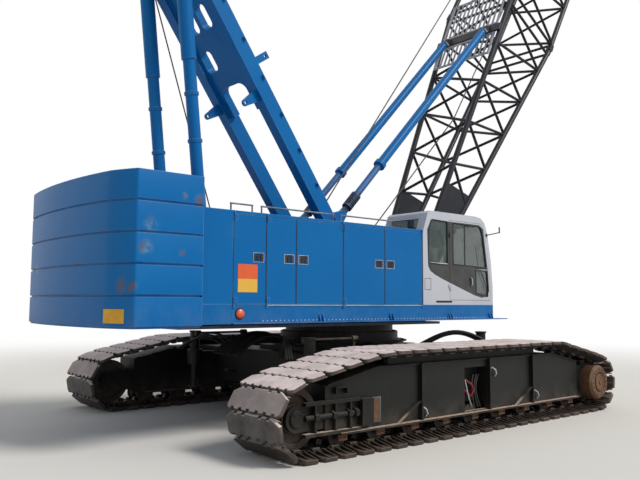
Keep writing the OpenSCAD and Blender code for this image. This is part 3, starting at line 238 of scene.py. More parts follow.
def steel(name, colour, second, rust=0.5, rough=0.55, metallic=0.3, scale=6.0):
    """Bare or worn steel: two tones in clouds, rust in the low spots and fine pitting."""
    f = Finish(name)
    clouds, pits = f.cloud(scale, 0.35, 0.65, 5), f.cloud(scale * 9, 0.4, 0.7, 3)
    rusty = f.cloud(scale * 0.6, 0.45, 0.7, 6) * rust
    base = f.mix(rusty, f.mix(clouds, colour, second), RUST)
    f.set(Base_Color=base, Metallic=metallic - rusty * metallic, Roughness=rough + 0.25 * rusty + 0.1 * pits)
    f.bumps(pits * 0.6 + clouds * 0.4, 0.002, 0.4)
    return f.material


def shoe_steel():
    """Shoes: pale dust on the treads that look up, palest above the bottom run, where the paleness also paints the
    sunlit tops;
    grey worn treads; dark rust with painted shade on the faces that look down and on the low bottom run; the depth
    below the top run and the outer reach come from Z and Y."""
    f = Finish("shoe_steel")
    up = f.facing_up(0.25, 0.8)
    clouds, fine = f.cloud(4, 0.3, 0.7, 6), f.cloud(35, 0.35, 0.7, 4)
    metal = f.mix(clouds, tone(0.22, 0.215, 0.21), tone(0.37, 0.355, 0.35))
    outer = (f.y.size() - (GAUGE / 2 + 0.40)).ramp(0.0, 0.12) * f.cloud(5, 0.35, 0.65)
    metal = f.mix((outer * 0.5 + f.cloud(9, 0.5, 0.7) * 0.3).least(1.0), metal, tone(0.37, 0.28, 0.23))
    # Painted shade with rust: faces that look down, and everything below the top of the bottom run, turn dark brown
    below = f.facing_up(-0.3, -0.85).most(f.z.ramp(0.24, 0.14))
    metal = f.mix(below * 0.85, metal, f.mix(clouds, tone(0.12, 0.09, 0.08), tone(0.23, 0.18, 0.15)))
    # Dust and a painted sunlit highlight: faces that look up turn pale, palest above the bottom run
    above_bottom_run = f.z.ramp(0.14, 0.42)
    paled = up * (0.35 + 0.65 * above_bottom_run) * (0.78 + 0.22 * clouds)
    pale = f.mix(f.cloud(2.5, 0.3, 0.7), tone(0.92, 0.86, 0.84), tone(0.82, 0.75, 0.72))
    base = f.mix(paled, metal, f.mix(above_bottom_run, tone(0.45, 0.39, 0.34), pale))
    base = f.mix(f.edges(0.008) * 0.35 * fine, base, tone(0.66, 0.63, 0.60))
    f.set(Base_Color=base, Metallic=(1 - paled) * 0.25, Roughness=0.55 + paled * 0.3)
    f.bumps(fine * 0.5 + clouds * 0.5, 0.003, 0.5)
    return f.material


def glass(name, tint, clear):
    """Tinted pane: see-through by `clear`, the rest a dark gloss, with faint dust in patches."""
    f = Finish(name, Roughness=0.04, Specular_IOR_Level=0.8)
    paled = f.cloud(4, 0.45, 0.8, 5) * 0.22
    f.set(Base_Color=f.mix(paled, tint, tone(0.72, 0.72, 0.70)), Alpha=(1 - clear) + paled * 0.6)
    return f.material


# Black area of the cab's side as X and Z, clockwise seen from the right
CAB_BLACK = [(0.57, 3.13), (0.67, 3.31), (2.02, 3.31), (2.14, 3.24), (2.27, 2.45), (2.30, 2.10), (2.22, 2.00),
             (2.07, 1.975), (1.85, 2.02), (1.42, 2.15), (0.95, 2.295), (0.77, 2.36), (0.65, 2.42), (0.59, 2.50)]
# Scuffs on the counterweight as X, Y, Z and radius
SCUFFS = [(-4.64, -1.75, 2.82, 0.11), (-3.97, -1.75, 3.16, 0.09), (-4.71, -1.75, 2.53, 0.10),
          (-4.95, -1.58, 2.07, 0.10), (-4.87, -1.70, 2.06, 0.08), (-4.22, -1.75, 2.49, 0.05),
          (-4.20, -1.75, 3.20, 0.05), (-5.10, 0.90, 2.33, 0.12)]


def black_side(f, base):
    """The black area of the cab's right side: the least distance inside all the sides of its outline."""
    p = np.array(CAB_BLACK)
    way = np.roll(p, -1, 0) - p
    way /= np.linalg.norm(way, axis=1, keepdims=True)
    inside = None
    for (x, z), (dx, dz) in zip(p, way):
        depth = (f.x - x) * dz - (f.z - z) * dx
        inside = depth if inside is None else inside.least(depth)
    black = f.mix(f.cloud(5), tone(0.13, 0.135, 0.14), tone(0.19, 0.195, 0.20))
    return f.mix(inside.ramp(0.0, 0.003) * (f.y < 0.03 - HALF_W), base, black)


def dusty_ledges(f, base):
    """Pale sand lies on the ledges low on the track frames, in patches along them."""
    lies = f.facing_up(0.6, 0.9) * f.z.ramp(0.42, 0.34) * f.cloud(2.2, 0.15, 0.45, 5)
    return f.mix(lies * 0.9, base, f.mix(f.cloud(14), tone(0.82, 0.73, 0.67), tone(0.70, 0.61, 0.55)))


def scuffs_and_highlights(f, base):
    """Paint worn through to pale primer and rust: noise inside a sphere round each scuff, painted highlights of pale
    blue on the edges, and brown runs along the seams between the blocks."""
    worn = None
    for x, y, z, r in SCUFFS:
        away = ((f.x - x) ** 2.0 + (f.y - y) ** 2.0 + (f.z - z) ** 2.0) ** 0.5
        near = away.ramp(r * 0.3, r * 1.3, 1.0, 0.0)
        worn = near if worn is None else worn.most(near)
    pale = f.mix(f.cloud(5, 0.4, 0.6), tone(0.47, 0.58, 0.66), tone(0.42, 0.34, 0.22))
    # Painted highlight: pale blue laid on the rounded edges
    base = f.mix(f.edges(0.016, 0.03, 0.2) * f.cloud(1.5, 0.3, 0.6) * 0.45, base, tone(0.55, 0.72, 0.88))
    by_seam = ((f.z - BLOCK_Z) / BLOCK_PITCH).part() < 0.10
    seams = by_seam * (f.x < -3.9) * f.cloud(4, 0.5, 0.75, 6, (1, 1, 0.5))
    base = f.mix(seams * 0.5, base, tone(0.36, 0.30, 0.20))
    return f.mix(worn * f.cloud(10, 0.35, 0.62, 6) * 0.75, base, pale)


blue_paint = painted("blue_paint", tone(0.0, 0.385, 0.645), tone(0.03, 0.42, 0.67), tone(0.36, 0.36, 0.36),
                     dust=0.10, shine=0.14, over=scuffs_and_highlights)
frame_paint = painted("frame_paint", tone(0.055, 0.06, 0.055), tone(0.10, 0.10, 0.09), tone(0.22, 0.19, 0.17),
                      dust=0.16, low=0.1, rough=0.5, shine=0.25, over=dusty_ledges)
boom_paint = painted("boom_paint", tone(0.04, 0.055, 0.10), tone(0.08, 0.095, 0.15), tone(0.30, 0.32, 0.36),
                     dust=0.07, rough=0.42, shine=0.3)
deck_paint = painted("deck_paint", tone(0.05, 0.21, 0.40), tone(0.08, 0.25, 0.44), dust=0.3)
cab_paint = painted("cab_paint", tone(0.73, 0.745, 0.785), tone(0.67, 0.69, 0.74), tone(0.42, 0.40, 0.38),
                    dust=0.10, wear=0.3, over=black_side)
track_steel = shoe_steel()
roller_steel = steel("roller_steel", tone(0.16, 0.14, 0.13), tone(0.28, 0.25, 0.22), 0.4)
drive_brown = steel("drive_brown", tone(0.33, 0.22, 0.16), tone(0.42, 0.31, 0.22), 0.5, 0.6, 0.2, 5)
winch_steel = steel("winch_steel", tone(0.12, 0.13, 0.15), tone(0.22, 0.23, 0.24), 0.25)
rope_steel = steel("rope_steel", tone(0.20, 0.20, 0.21), tone(0.34, 0.33, 0.32), 0.2, 0.5, 0.5, 12)
stay_steel = steel("stay_steel", tone(0.14, 0.16, 0.20), tone(0.26, 0.28, 0.31), 0.2)
engine_grey = steel("engine_grey", tone(0.30, 0.31, 0.32), tone(0.42, 0.42, 0.42), 0.1)
rail_steel = steel("rail_steel", tone(0.62, 0.66, 0.70), tone(0.76, 0.78, 0.80), 0.1, 0.4)
rail_grey = steel("rail_grey", tone(0.34, 0.38, 0.43), tone(0.48, 0.51, 0.54), 0.1, 0.45)
# Paler blue for the sill ledges: a painted highlight along the deck's top edge
highlight_trim = steel("highlight_trim", tone(0.44, 0.60, 0.72), tone(0.56, 0.68, 0.76), 0.05, 0.4, 0.0, 3)
black_rubber = steel("black_rubber", tone(0.05, 0.05, 0.055), tone(0.09, 0.09, 0.095), 0.0, 0.6, 0.0)
red_hose = steel("red_hose", tone(0.55, 0.08, 0.07), tone(0.42, 0.08, 0.07), 0.1, 0.5, 0.0)
plate_yellow = steel("plate_yellow", tone(0.86, 0.66, 0.10), tone(0.80, 0.58, 0.12), 0.05, 0.45, 0.0)
pane_glass = glass("pane_glass", tone(0.22, 0.30, 0.29), 0.55)
hook_yellow = painted("hook_yellow", tone(0.75, 0.55, 0.12), tone(0.62, 0.48, 0.18), dust=0.3, wear=1.0)


def two_steels(name, first, second, where):
    """Worn steel of one pair of tones, and of the second pair at the places that `where` gives."""
    f = Finish(name)
    clouds, pits = f.cloud(6, 0.35, 0.65, 5), f.cloud(54, 0.4, 0.7, 3)
    base = f.mix(where(f), f.mix(clouds, *first), f.mix(clouds, *second))
    f.set(Base_Color=f.mix(f.cloud(3.6, 0.5, 0.75, 6) * 0.25, base, RUST), Roughness=0.5 + 0.1 * pits)
    f.bumps(pits * 0.6 + clouds * 0.4, 0.002, 0.4)
    return f.material


def off_beam(f):
    """The gratings above and below the boom's cross beam, by the distance along the boom."""
    along = (f.x - BOOM_FOOT[0]) * np.cos(BOOM_ANGLE) + (f.z - BOOM_FOOT[2]) * np.sin(BOOM_ANGLE)
    return (along - BEAM_S).size() > BEAM_HALF


grating_steel = two_steels("grating_steel", (tone(0.05, 0.06, 0.10), tone(0.09, 0.10, 0.15)),
                           (tone(0.56, 0.58, 0.62), tone(0.70, 0.71, 0.73)), off_beam)
spring_steel = two_steels("spring_steel", (tone(0.09, 0.15, 0.26), tone(0.16, 0.24, 0.36)),
                          (tone(0.05, 0.32, 0.56), tone(0.09, 0.36, 0.60)), lambda f: f.z > SPRING_TOP_Z)


def lamp_finish():
    """Orange lens with fine ribs across it."""
    f = Finish("lamp_orange", Roughness=0.2, Coat_Weight=0.6)
    ribs = (f.z * 900.0).wave() * 0.5 + 0.5
    f.set(Base_Color=f.mix(ribs, tone(0.80, 0.27, 0.12), tone(0.90, 0.38, 0.20)))
    f.bumps(ribs, 0.001, 0.6)
    return f.material


def sign_finish():
    """Two plain bands of faded sheet, orange above yellow."""
    f = Finish("sign_bands", Roughness=0.45)
    faded = f.cloud(12, 0.3, 0.7, 4) * 0.25
    upper = f.mix(faded, tone(0.86, 0.34, 0.14), tone(0.80, 0.46, 0.28))
    lower = f.mix(faded, tone(0.88, 0.68, 0.22), tone(0.82, 0.70, 0.40))
    f.set(Base_Color=f.mix(f.z > SIGN_SPLIT_Z, lower, upper))
    f.bumps(f.cloud(30), 0.0005, 0.2)
    return f.material


def cloth_finish():
    """Woven seat cloth: crossed ribs a few millimetres apart, the product of two sines, with darker worn patches."""
    f = Finish("seat_cloth", Roughness=0.9, Sheen_Weight=0.3)
    threads = 1400.0
    weave = (f.y * threads).wave() * ((f.z + f.x) * threads).wave() * 0.5 + 0.5
    f.set(Base_Color=f.mix(weave * 0.5 + f.cloud(6) * 0.5, tone(0.12, 0.12, 0.13), tone(0.26, 0.26, 0.28)))
    f.bumps(weave, 0.001, 0.6)
    return f.material


lamp_orange = lamp_finish()
sign_bands = sign_finish()
seat_cloth = cloth_finish()

NODE_FINISH = {
    "carbody": frame_paint, "slew_ring": frame_paint, "frame_right": frame_paint, "frame_left": frame_paint,
    "track_right": track_steel, "track_left": track_steel, "idlers": roller_steel, "sprockets": roller_steel,
    "drives": drive_brown, "rollers": roller_steel, "jacks": frame_paint, "upper_frame": deck_paint,
    "sill": blue_paint, "weight": blue_paint, "house": blue_paint, "door": blue_paint, "winches": winch_steel,
    "engine": engine_grey, "cab_shell": cab_paint, "cab_door": cab_paint, "cab_glass": pane_glass,
    "door_glass": pane_glass, "cab_seat": seat_cloth, "mirror": black_rubber, "handrails": rail_grey,
    "lamps": lamp_orange, "mast": blue_paint, "rear_legs": blue_paint, "gantry_sheaves": winch_steel,
    "boom_base": boom_paint, "boom_head": boom_paint, "boom_sheaves": winch_steel, "boom_walkway": grating_steel,
    "backstop_tubes": blue_paint, "backstop_rods": spring_steel, "main_stays": stay_steel,
    "hook_falls": rope_steel, "hook_block": hook_yellow,
}


def node_finish(name):
    """The finish of the longest key that the node's name starts with."""
    return NODE_FINISH[max((k for k in NODE_FINISH if name.startswith(k)), key=len)]


for node_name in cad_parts:
    built = bpy.data.objects[node_name]
    if not built.material_slots:
        built.data.materials.append(None)
    for place in built.material_slots:
        place.material = node_finish(node_name)


# A part is its points and its faces, and the faces are arrays, one for each number of corners
def sheet(points, round_u=False, round_v=False):
    """Quads over a grid of points of shape (u, v, 3), joined at either edge if it runs round."""
    u, v = points.shape[:2]
    i = np.arange(u if round_u else u - 1)[:, None]
    j = np.arange(v if round_v else v - 1)[None, :]
    a, b = i * v + j, (i + 1) % u * v + j
    c, d = (i + 1) % u * v + (j + 1) % v, i * v + (j + 1) % v
    return points.reshape(-1, 3), [np.stack([a, b, c, d], -1).reshape(-1, 4)]


def closed(points):
    """A sheet that runs round in v, with its first and last row closed by one face each."""
    u, v = points.shape[:2]
    verts, faces = sheet(points, round_v=True)
    return verts, faces + [np.arange(v)[None, :], (u - 1) * v + np.arange(v)[None, ::-1]]


def joined(*parts):
    """The parts' points one after the other, and their faces numbered on from the points before."""
    verts, faces, base = [], [], 0
    for v, f in parts:
        verts.append(v)
        faces += [q + base for q in f]
        base += len(v)
    return np.concatenate(verts), faces


def copies(part, turns, places):
    """The part once for each 3 by 3 turn and place."""
    v, f = part
    turns, places = np.asarray(turns, float), np.asarray(places, float)
    out = np.einsum("kij,nj->kni", turns, v) + places[:, None, :]
    base = np.arange(len(places))[:, None, None] * len(v)
    return out.reshape(-1, 3), [(q[None] + base).reshape(-1, q.shape[1]) for q in f]


def at(part, places, axes=np.eye(3)):
    """The part at each place, with its own axes along the rows of axes."""
    places = np.atleast_2d(places)
    return copies(part, np.repeat(np.asarray(axes, float).T[None], len(places), 0), places)


def mirrored(part):
    """The part on the other side of the centre plane."""
    v, f = part
    return v * [1, -1, 1], [q[:, ::-1] for q in f]


def inset(outline, d):
    """Each corner moved inwards by d along the mitre of its two sides; the outline runs anticlockwise."""
    a = outline - np.roll(outline, 1, 0)
    b = np.roll(outline, -1, 0) - outline
    na = np.stack([-a[:, 1], a[:, 0]], -1) / np.linalg.norm(a, axis=1, keepdims=True)
    nb = np.stack([-b[:, 1], b[:, 0]], -1) / np.linalg.norm(b, axis=1, keepdims=True)
    return outline + d * (na + nb) / (1 + (na * nb).sum(1, keepdims=True))


def stacked(outline, steps):
    """The outline at each height of the steps (height, inset), from the lowest to the highest."""
    o = np.asarray(outline, float)
    area = (o[:, 0] * np.roll(o[:, 1], -1) - o[:, 1] * np.roll(o[:, 0], -1)).sum()
    o = o if area > 0 else o[::-1]
    points = np.stack([np.column_stack([inset(o, d), np.full(len(o), z)]) for z, d in steps])
    return closed(points[::-1])


def slab(outline, z0, z1, bevel=0.004):
    """A flat outline between two heights, with its edges bevelled: four rings of the outline, the end ones inset."""
    return stacked(outline, [(z0, bevel), (z0 + bevel, 0), (z1 - bevel, 0), (z1, bevel)])


def bent(a, b, c, n):
    """n points from a to c on the parabola that leaves a and reaches c along their lines to b."""
    t = np.linspace(0, 1, n)[:, None]
    return (1 - t) ** 2 * np.asarray(a) + 2 * t * (1 - t) * np.asarray(b) + t * t * np.asarray(c)


def rect(x0, x1, y0, y1):
    """Corners of a rectangle, anticlockwise."""
    return [(x0, y0), (x1, y0), (x1, y1), (x0, y1)]


def box(low, high, bevel=0.004):
    """A rectangle between two heights, with bevelled edges."""
    return slab(rect(low[0], high[0], low[1], high[1]), low[2], high[2], bevel)


def ring(r, n, start=0.0):
    """n points on a circle of radius r, from the angle start."""
    a = start + np.arange(n) * 2 * np.pi / n
    return np.column_stack([np.cos(a), np.sin(a)]) * r


def turned(profile, n=24):
    """A profile of (height, radius) turned about Z; its ends are closed by one face each."""
    p = np.asarray(profile, float)
    c = ring(1, n)
    points = np.stack([np.column_stack([c * max(r, 1e-4), np.full(n, h)]) for h, r in p])
    return closed(points[::-1])


def tube(path, radius, sides=10, round_path=False):
    """A round section carried along a path, square to it, with the section's frame carried on without twist."""
    p = np.asarray(path, float)
    t = np.roll(p, -1, 0) - np.roll(p, 1, 0) if round_path else np.gradient(p, axis=0)
    t /= np.linalg.norm(t, axis=1, keepdims=True)
    n = np.cross(t[0], [0.3, 0.5, 0.81])
    frames = []
    for way in t:
        n = n - way * (n @ way)
        n /= np.linalg.norm(n)
        frames.append((n, np.cross(way, n)))
    frames = np.array(frames)
    c = ring(1, sides)
    points = p[:, None, :] + radius * (c[None, :, :1] * frames[:, None, 0] + c[None, :, 1:] * frames[:, None, 1])
    return sheet(points[::-1], True, True) if round_path else closed(points[::-1])


def rod(a, b, radius, sides=10):
    """A straight round bar from a to b."""
    return tube([a, (np.asarray(a, float) + b) / 2, b], radius, sides)


def bolt(size):
    """Hexagon head on a washer, standing on z = 0."""
    washer = slab(ring(size * 0.95, 12), 0, size * 0.15, size * 0.03)
    return joined(washer, slab(ring(size * 0.8, 6), size * 0.13, size * 0.7, size * 0.08))


def piece(name, part, finish, body, smooth=30, node=()):
    """Makes the part an object with its finish, smooth up to an angle, rides it on the body, and lets it stand for
    nodes."""
    verts, faces = part
    data = bpy.data.meshes.new(name)
    data.from_pydata(verts.tolist(), [], [row for q in faces for row in q.tolist()])
    data.materials.append(finish)
    data.shade_smooth()
    data.set_sharp_from_angle(angle=np.radians(smooth))
    made = bpy.data.objects.new(name, data)
    bpy.context.scene.collection.objects.link(made)
    if body:
        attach(made, body)
    if node:
        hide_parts(*node)
    return made


OUT_RIGHT = np.array([[1, 0, 0], [0, 0, 1], [0, -1, 0.0]])  # a part's Z along -Y, its Y up
OUT_LEFT = np.array([[-1, 0, 0], [0, 0, 1], [0, 1, 0.0]])   # a part's Z along +Y, its Y up
CROSSWISE = np.array([[0, 1, 0], [0, 0, 1], [1, 0, 0.0]])   # a part's Z along +X, its X along +Y, its Y up
SIDES = (("right", -1, OUT_RIGHT), ("left", 1, OUT_LEFT))


def both_sides(name, part, finish, body="undercarriage"):
    """One piece for the left side and its mirror image for the right."""
    piece(name + "_left", part, finish, body)
    piece(name + "_right", mirrored(part), finish, body)


def circle_of(part, n, r, lift, start=0.0):
    """The part n times on a circle of radius r about Z, at the height lift."""
    return at(part, np.column_stack([ring(r, n, start), np.full(n, lift)]))


# Tracks
def track_loop(s):
    """Hinge line at the distances s from the rear of the bottom run, or its whole length when s is None: a straight
    run, an arc of the end wheel, a slope, the top run, a slope and the rear arc, each worked out for all s at once."""
    front = np.array([SPROCKET_X - RUN_FRONT_X, RUN_Z - AXLE_Z])
    rear = np.array([RUN_REAR_X - IDLER_X, RUN_Z - AXLE_Z])
    slope_f = np.arctan2(front[1], front[0]) - np.arcsin(HINGE_R / np.hypot(*front))
    slope_r = np.arctan2(rear[1], rear[0]) - np.arcsin(HINGE_R / np.hypot(*rear))
    run_f, run_r = np.sqrt(front @ front - HINGE_R ** 2), np.sqrt(rear @ rear - HINGE_R ** 2)
    lengths = [SPROCKET_X - IDLER_X, HINGE_R * (np.pi - slope_f), run_f, RUN_FRONT_X - RUN_REAR_X, run_r,
               HINGE_R * (np.pi - slope_r)]
    ends = np.cumsum(lengths)
    if s is None:
        return ends[-1]
    s = np.asarray(s) % ends[-1]
    t = [s, s - ends[0], ends[2] - s, s - ends[2], s - ends[3], s - ends[4]]
    a, b = -np.pi / 2 + t[1] / HINGE_R, np.pi / 2 + slope_r + t[5] / HINGE_R
    x = [IDLER_X + s, SPROCKET_X + HINGE_R * np.cos(a), RUN_FRONT_X + t[2] * np.cos(slope_f), RUN_FRONT_X - t[3],
         RUN_REAR_X - t[4] * np.cos(slope_r), IDLER_X + HINGE_R * np.cos(b)]
    z = [SHOE_T + 0 * s, AXLE_Z + HINGE_R * np.sin(a), RUN_Z - t[2] * np.sin(slope_f), RUN_Z + 0 * s,
         RUN_Z - t[4] * np.sin(slope_r), AXLE_Z + HINGE_R * np.sin(b)]
    k = np.searchsorted(ends, s, side="right").clip(0, 5)
    return np.stack([np.choose(k, x), np.choose(k, z)], -1)


def shoe_outline(length):
    """Plan of one shoe, X along the track and Y across: slots in both long edges, one rounded corner and one cut
    back in a long curve at each outer end."""
    h, w, corner_r = length / 2, SHOE_W / 2, 0.06
    mouth, foot, depth = 0.032, 0.028, 0.026      # half widths of a slot at its mouth and foot, and its depth
    arc = np.linspace(0, np.pi / 2, 5)
    corner = np.column_stack([h - corner_r + corner_r * np.sin(arc), w - corner_r + corner_r * np.cos(arc)])
    front = [[x, y + dy] for y in (0.41, 0.25, 0.09)
             for x, dy in ((h, mouth), (h - depth, foot), (h - depth, -foot), (h, -mouth))]
    rear = [[x, y + dy] for y in (0.17, 0.33)
            for x, dy in ((-h, -mouth), (depth - h, -foot), (depth - h, foot), (-h, mouth))]
    cut = [[-h, w - 0.15], [-h + 0.022, w - 0.105], [-h + 0.050, w - 0.045], [-h + 0.075, w]]
    half = np.array([[-h, 0.0]] + rear + cut + corner.tolist() + front + [[h, 0.0]])
    other = half[::-1][1:-1] * [1, -1]
    return np.concatenate([half, other])[::-1]


def upright(part):
    """The part with its Y and Z exchanged, and its faces turned back to point outwards."""
    v, f = part
    return v[:, [0, 2, 1]], [q[:, ::-1] for q in f]


def track_shoe(pitch):
    """A shoe with its links: plate, ribs that rise from the outer ends to a pad beside the roller path, two pairs of
    link bosses and the guide lug; Z points outwards."""
    gap, rib_t, link_t, lug_w = 0.009, 0.018, 0.044, 0.10
    length = pitch - gap
    plate = slab(shoe_outline(length), 0.0, SHOE_T, 0.006)
    rib = slab([[0.51, 0.002], [0.255, 0.002], [0.255, -0.058], [0.51, -0.006]], -rib_t / 2, rib_t / 2, 0.002)
    ribs = at(rib, [[x, 0, 0] for x in (-length / 2 + 0.035, 0.0, length / 2 - 0.040)], CROSSWISE)
    end = joined(ribs, box([-0.06, 0.215, -0.072], [0.06, 0.275, 0.001], 0.008))
    link = [[-pitch / 2 - 0.03, -0.02], [pitch / 2 - 0.02, -0.02], [pitch / 2 - 0.02, -0.045],
            [-pitch / 2 + 0.03, -0.045]]
    links = at(upright(slab(link, -link_t / 2, link_t / 2, 0.004)),
               [[0, y, 0.02] for y in (-0.165, -0.06, 0.06, 0.165)])
    lug = [[-0.055, -0.045], [0.055, -0.045], [0.035, -0.105], [-0.035, -0.105]]
    return joined(plate, upright(slab(lug, -lug_w / 2, lug_w / 2, 0.006)), end, mirrored(end), links)


def tracks():
    """Every shoe lies on the chord between two hinges of the loop, its outer face one plate's thickness out, and a
    pin lies at every hinge."""
    total = track_loop(None)
    hinges = track_loop((np.arange(SHOE_N + 1) + 0.5) * total / SHOE_N)
    mid, way = (hinges[1:] + hinges[:-1]) / 2, hinges[1:] - hinges[:-1]
    way /= np.linalg.norm(way, axis=1, keepdims=True)
    zero = np.zeros(SHOE_N)
    along = np.stack([way[:, 0], zero, way[:, 1]], -1)
    out = np.stack([way[:, 1], zero, -way[:, 0]], -1)
    turns = np.stack([along, np.cross(out, along), out], -1)
    shoes = copies(track_shoe(total / SHOE_N), turns, np.stack([mid[:, 0], zero, mid[:, 1]], -1))
    pin_half, pin_r, pin_in = 0.19, 0.016, 0.012
    pins = at(tube([[0, -pin_half, 0], [0, 0, 0], [0, pin_half, 0]], pin_r, 8),
              np.stack([hinges[:-1, 0], zero, hinges[:-1, 1]], -1) - pin_in * out)
    loop = joined(shoes, pins)
    for side, name in ((1, "left"), (-1, "right")):
        v, f = loop if side > 0 else mirrored(loop)
        piece("shoes_" + name, (v + [0, side * GAUGE / 2, 0], f), track_steel, "undercarriage",
              node=("track_" + name,))


tracks()


# Rope work
def on_boom(s, y, d):
    """A place s along the boom from its foot pin, y to the left and d out of its rear face."""
    c, n = np.cos(BOOM_ANGLE), np.sin(BOOM_ANGLE)
    return BOOM_FOOT + np.array([s * c - d * n, y, s * n + d * c])


def rope(a, b, radius=ROPE_R):
    """A taut rope with a ring of points at each end only, so that it stays straight when one end moves."""
    return tube([a, b], radius, 7)


def luffing_ropes():
    """Falls between the gantry head's eight sheaves and the spreader's, side by side a sheave's pitch apart, one from
    the top and one from the bottom of each."""
    falls_n, pitch, spreader_r, gantry_r, fall_r = 8, 0.06, 0.235, 0.295, 0.010
    to = (GANTRY - STAY_PIN) / np.linalg.norm(GANTRY - STAY_PIN)
    spread = STAY_PIN + to * (STAY_L + 0.05)
    lift = np.cross([0, 1, 0], to)
    falls = []
    for y in (np.arange(falls_n) - (falls_n - 1) / 2) * pitch:
        for s in (1, -1):
            falls.append(rope(GANTRY + [0, y, 0] + s * lift * gantry_r, spread + [0, y, 0] + s * lift * spreader_r,
                              fall_r))
    made = piece("luffing_ropes", joined(*falls), rope_steel, None, smooth=60)
    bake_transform(made)


luffing_ropes()


# Winch drums
DRUM_X, DRUM_Z, DRUM_R = (0.52, -0.76, -2.08), 2.38, 0.27


def drum_ropes():
    """Rope on the winch drums: one round turn beside the other, each a ring of a small round section."""
    half_drum, step = 0.27, 0.027
    a, b = (np.arange(40) * np.pi / 20)[:, None], (np.arange(7) * 2 * np.pi / 7)[None, :]
    r = DRUM_R + 0.014 + ROPE_R * np.cos(b)
    turn = sheet(np.stack([r * np.cos(a), ROPE_R * np.sin(b) + 0 * a, r * np.sin(a)], -1)[:, ::-1], True, True)
    places = [[x, y, DRUM_Z] for x in DRUM_X for y in np.arange(-half_drum, half_drum + 0.005, step)]
    piece("drum_ropes", at(turn, places), rope_steel, "upper", smooth=60)


def hoist_ropes():
    """Hoist ropes from the tops of the front two drums to the boom's head, one of them over a roller on the boom, and
    the luffing rope from the rear drum to the gantry's sheaves."""
    roller = on_boom(4.3, 0.12, 0.20)
    runs = {"rear_hoist_rope": ([-1.00, 0.22, 2.56], STAY_PIN + [0.06, 0.14, 0.10]),
            "front_hoist_rope": ([0.26, 0.16, 2.52], roller)}
    for name, (drum, top) in runs.items():
        made = piece(name, rope(drum, top), rope_steel, None, smooth=60)
        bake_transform(made)
    piece("boom_hoist_rope", rope(roller, TIP + [-0.25, 0.10, 0.16]), rope_steel, "boom", smooth=60)
    piece("luffing_lead", rope([-2.37, 0.12, 2.45], [-4.00, 0.12, 7.36], 0.011), rope_steel, "upper", smooth=60)


drum_ropes()
hoist_ropes()


# Cab
CAB_Y, CAB_IN_Y = -HALF_W, -0.655
DOOR_PANE = [(1.260, 2.560), (2.222, 2.530), (2.120, 3.120), (2.070, 3.255), (1.990, 3.280), (1.260, 3.290)]
LOW_PANE = [(1.910, 2.060), (2.252, 1.995), (2.268, 2.190), (2.236, 2.465), (1.900, 2.490)]
QUARTER_PANE = [(0.600, 2.560), (1.110, 2.540), (1.110, 3.300), (0.690, 3.310), (0.600, 3.080)]
LEFT_PANE = [(0.760, 2.400), (2.200, 2.400), (2.110, 3.120), (2.000, 3.290), (0.760, 3.290)]


def rounded_loop(outline, r=0.025):
    """The outline with each corner replaced by a parabola of five points between its sides, r from the corner."""
    p = np.asarray(outline, float)
    out = []
    for before, corner, after in zip(np.roll(p, 1, 0), p, np.roll(p, -1, 0)):
        a, c = (corner + (end - corner) / np.linalg.norm(end - corner) * r for end in (before, after))
        out.append(bent(a, corner, c, 5))
    return np.concatenate(out)


def rim(outline, y):
    """Rubber seal round a pane that stands along X and Z: a round section carried round its outline."""
    loop = rounded_loop(outline)
    path = np.column_stack([loop[:, 0], np.full(len(loop), y), loop[:, 1]])
    return tube(path, 0.011, 6, round_path=True)


def side_plate(outline, y, thick, bevel=0.002):
    """A flat outline in X and Z that stands out of the right-hand side at y."""
    return at(slab(outline, 0, thick, bevel), [0, y, 0], OUT_RIGHT)


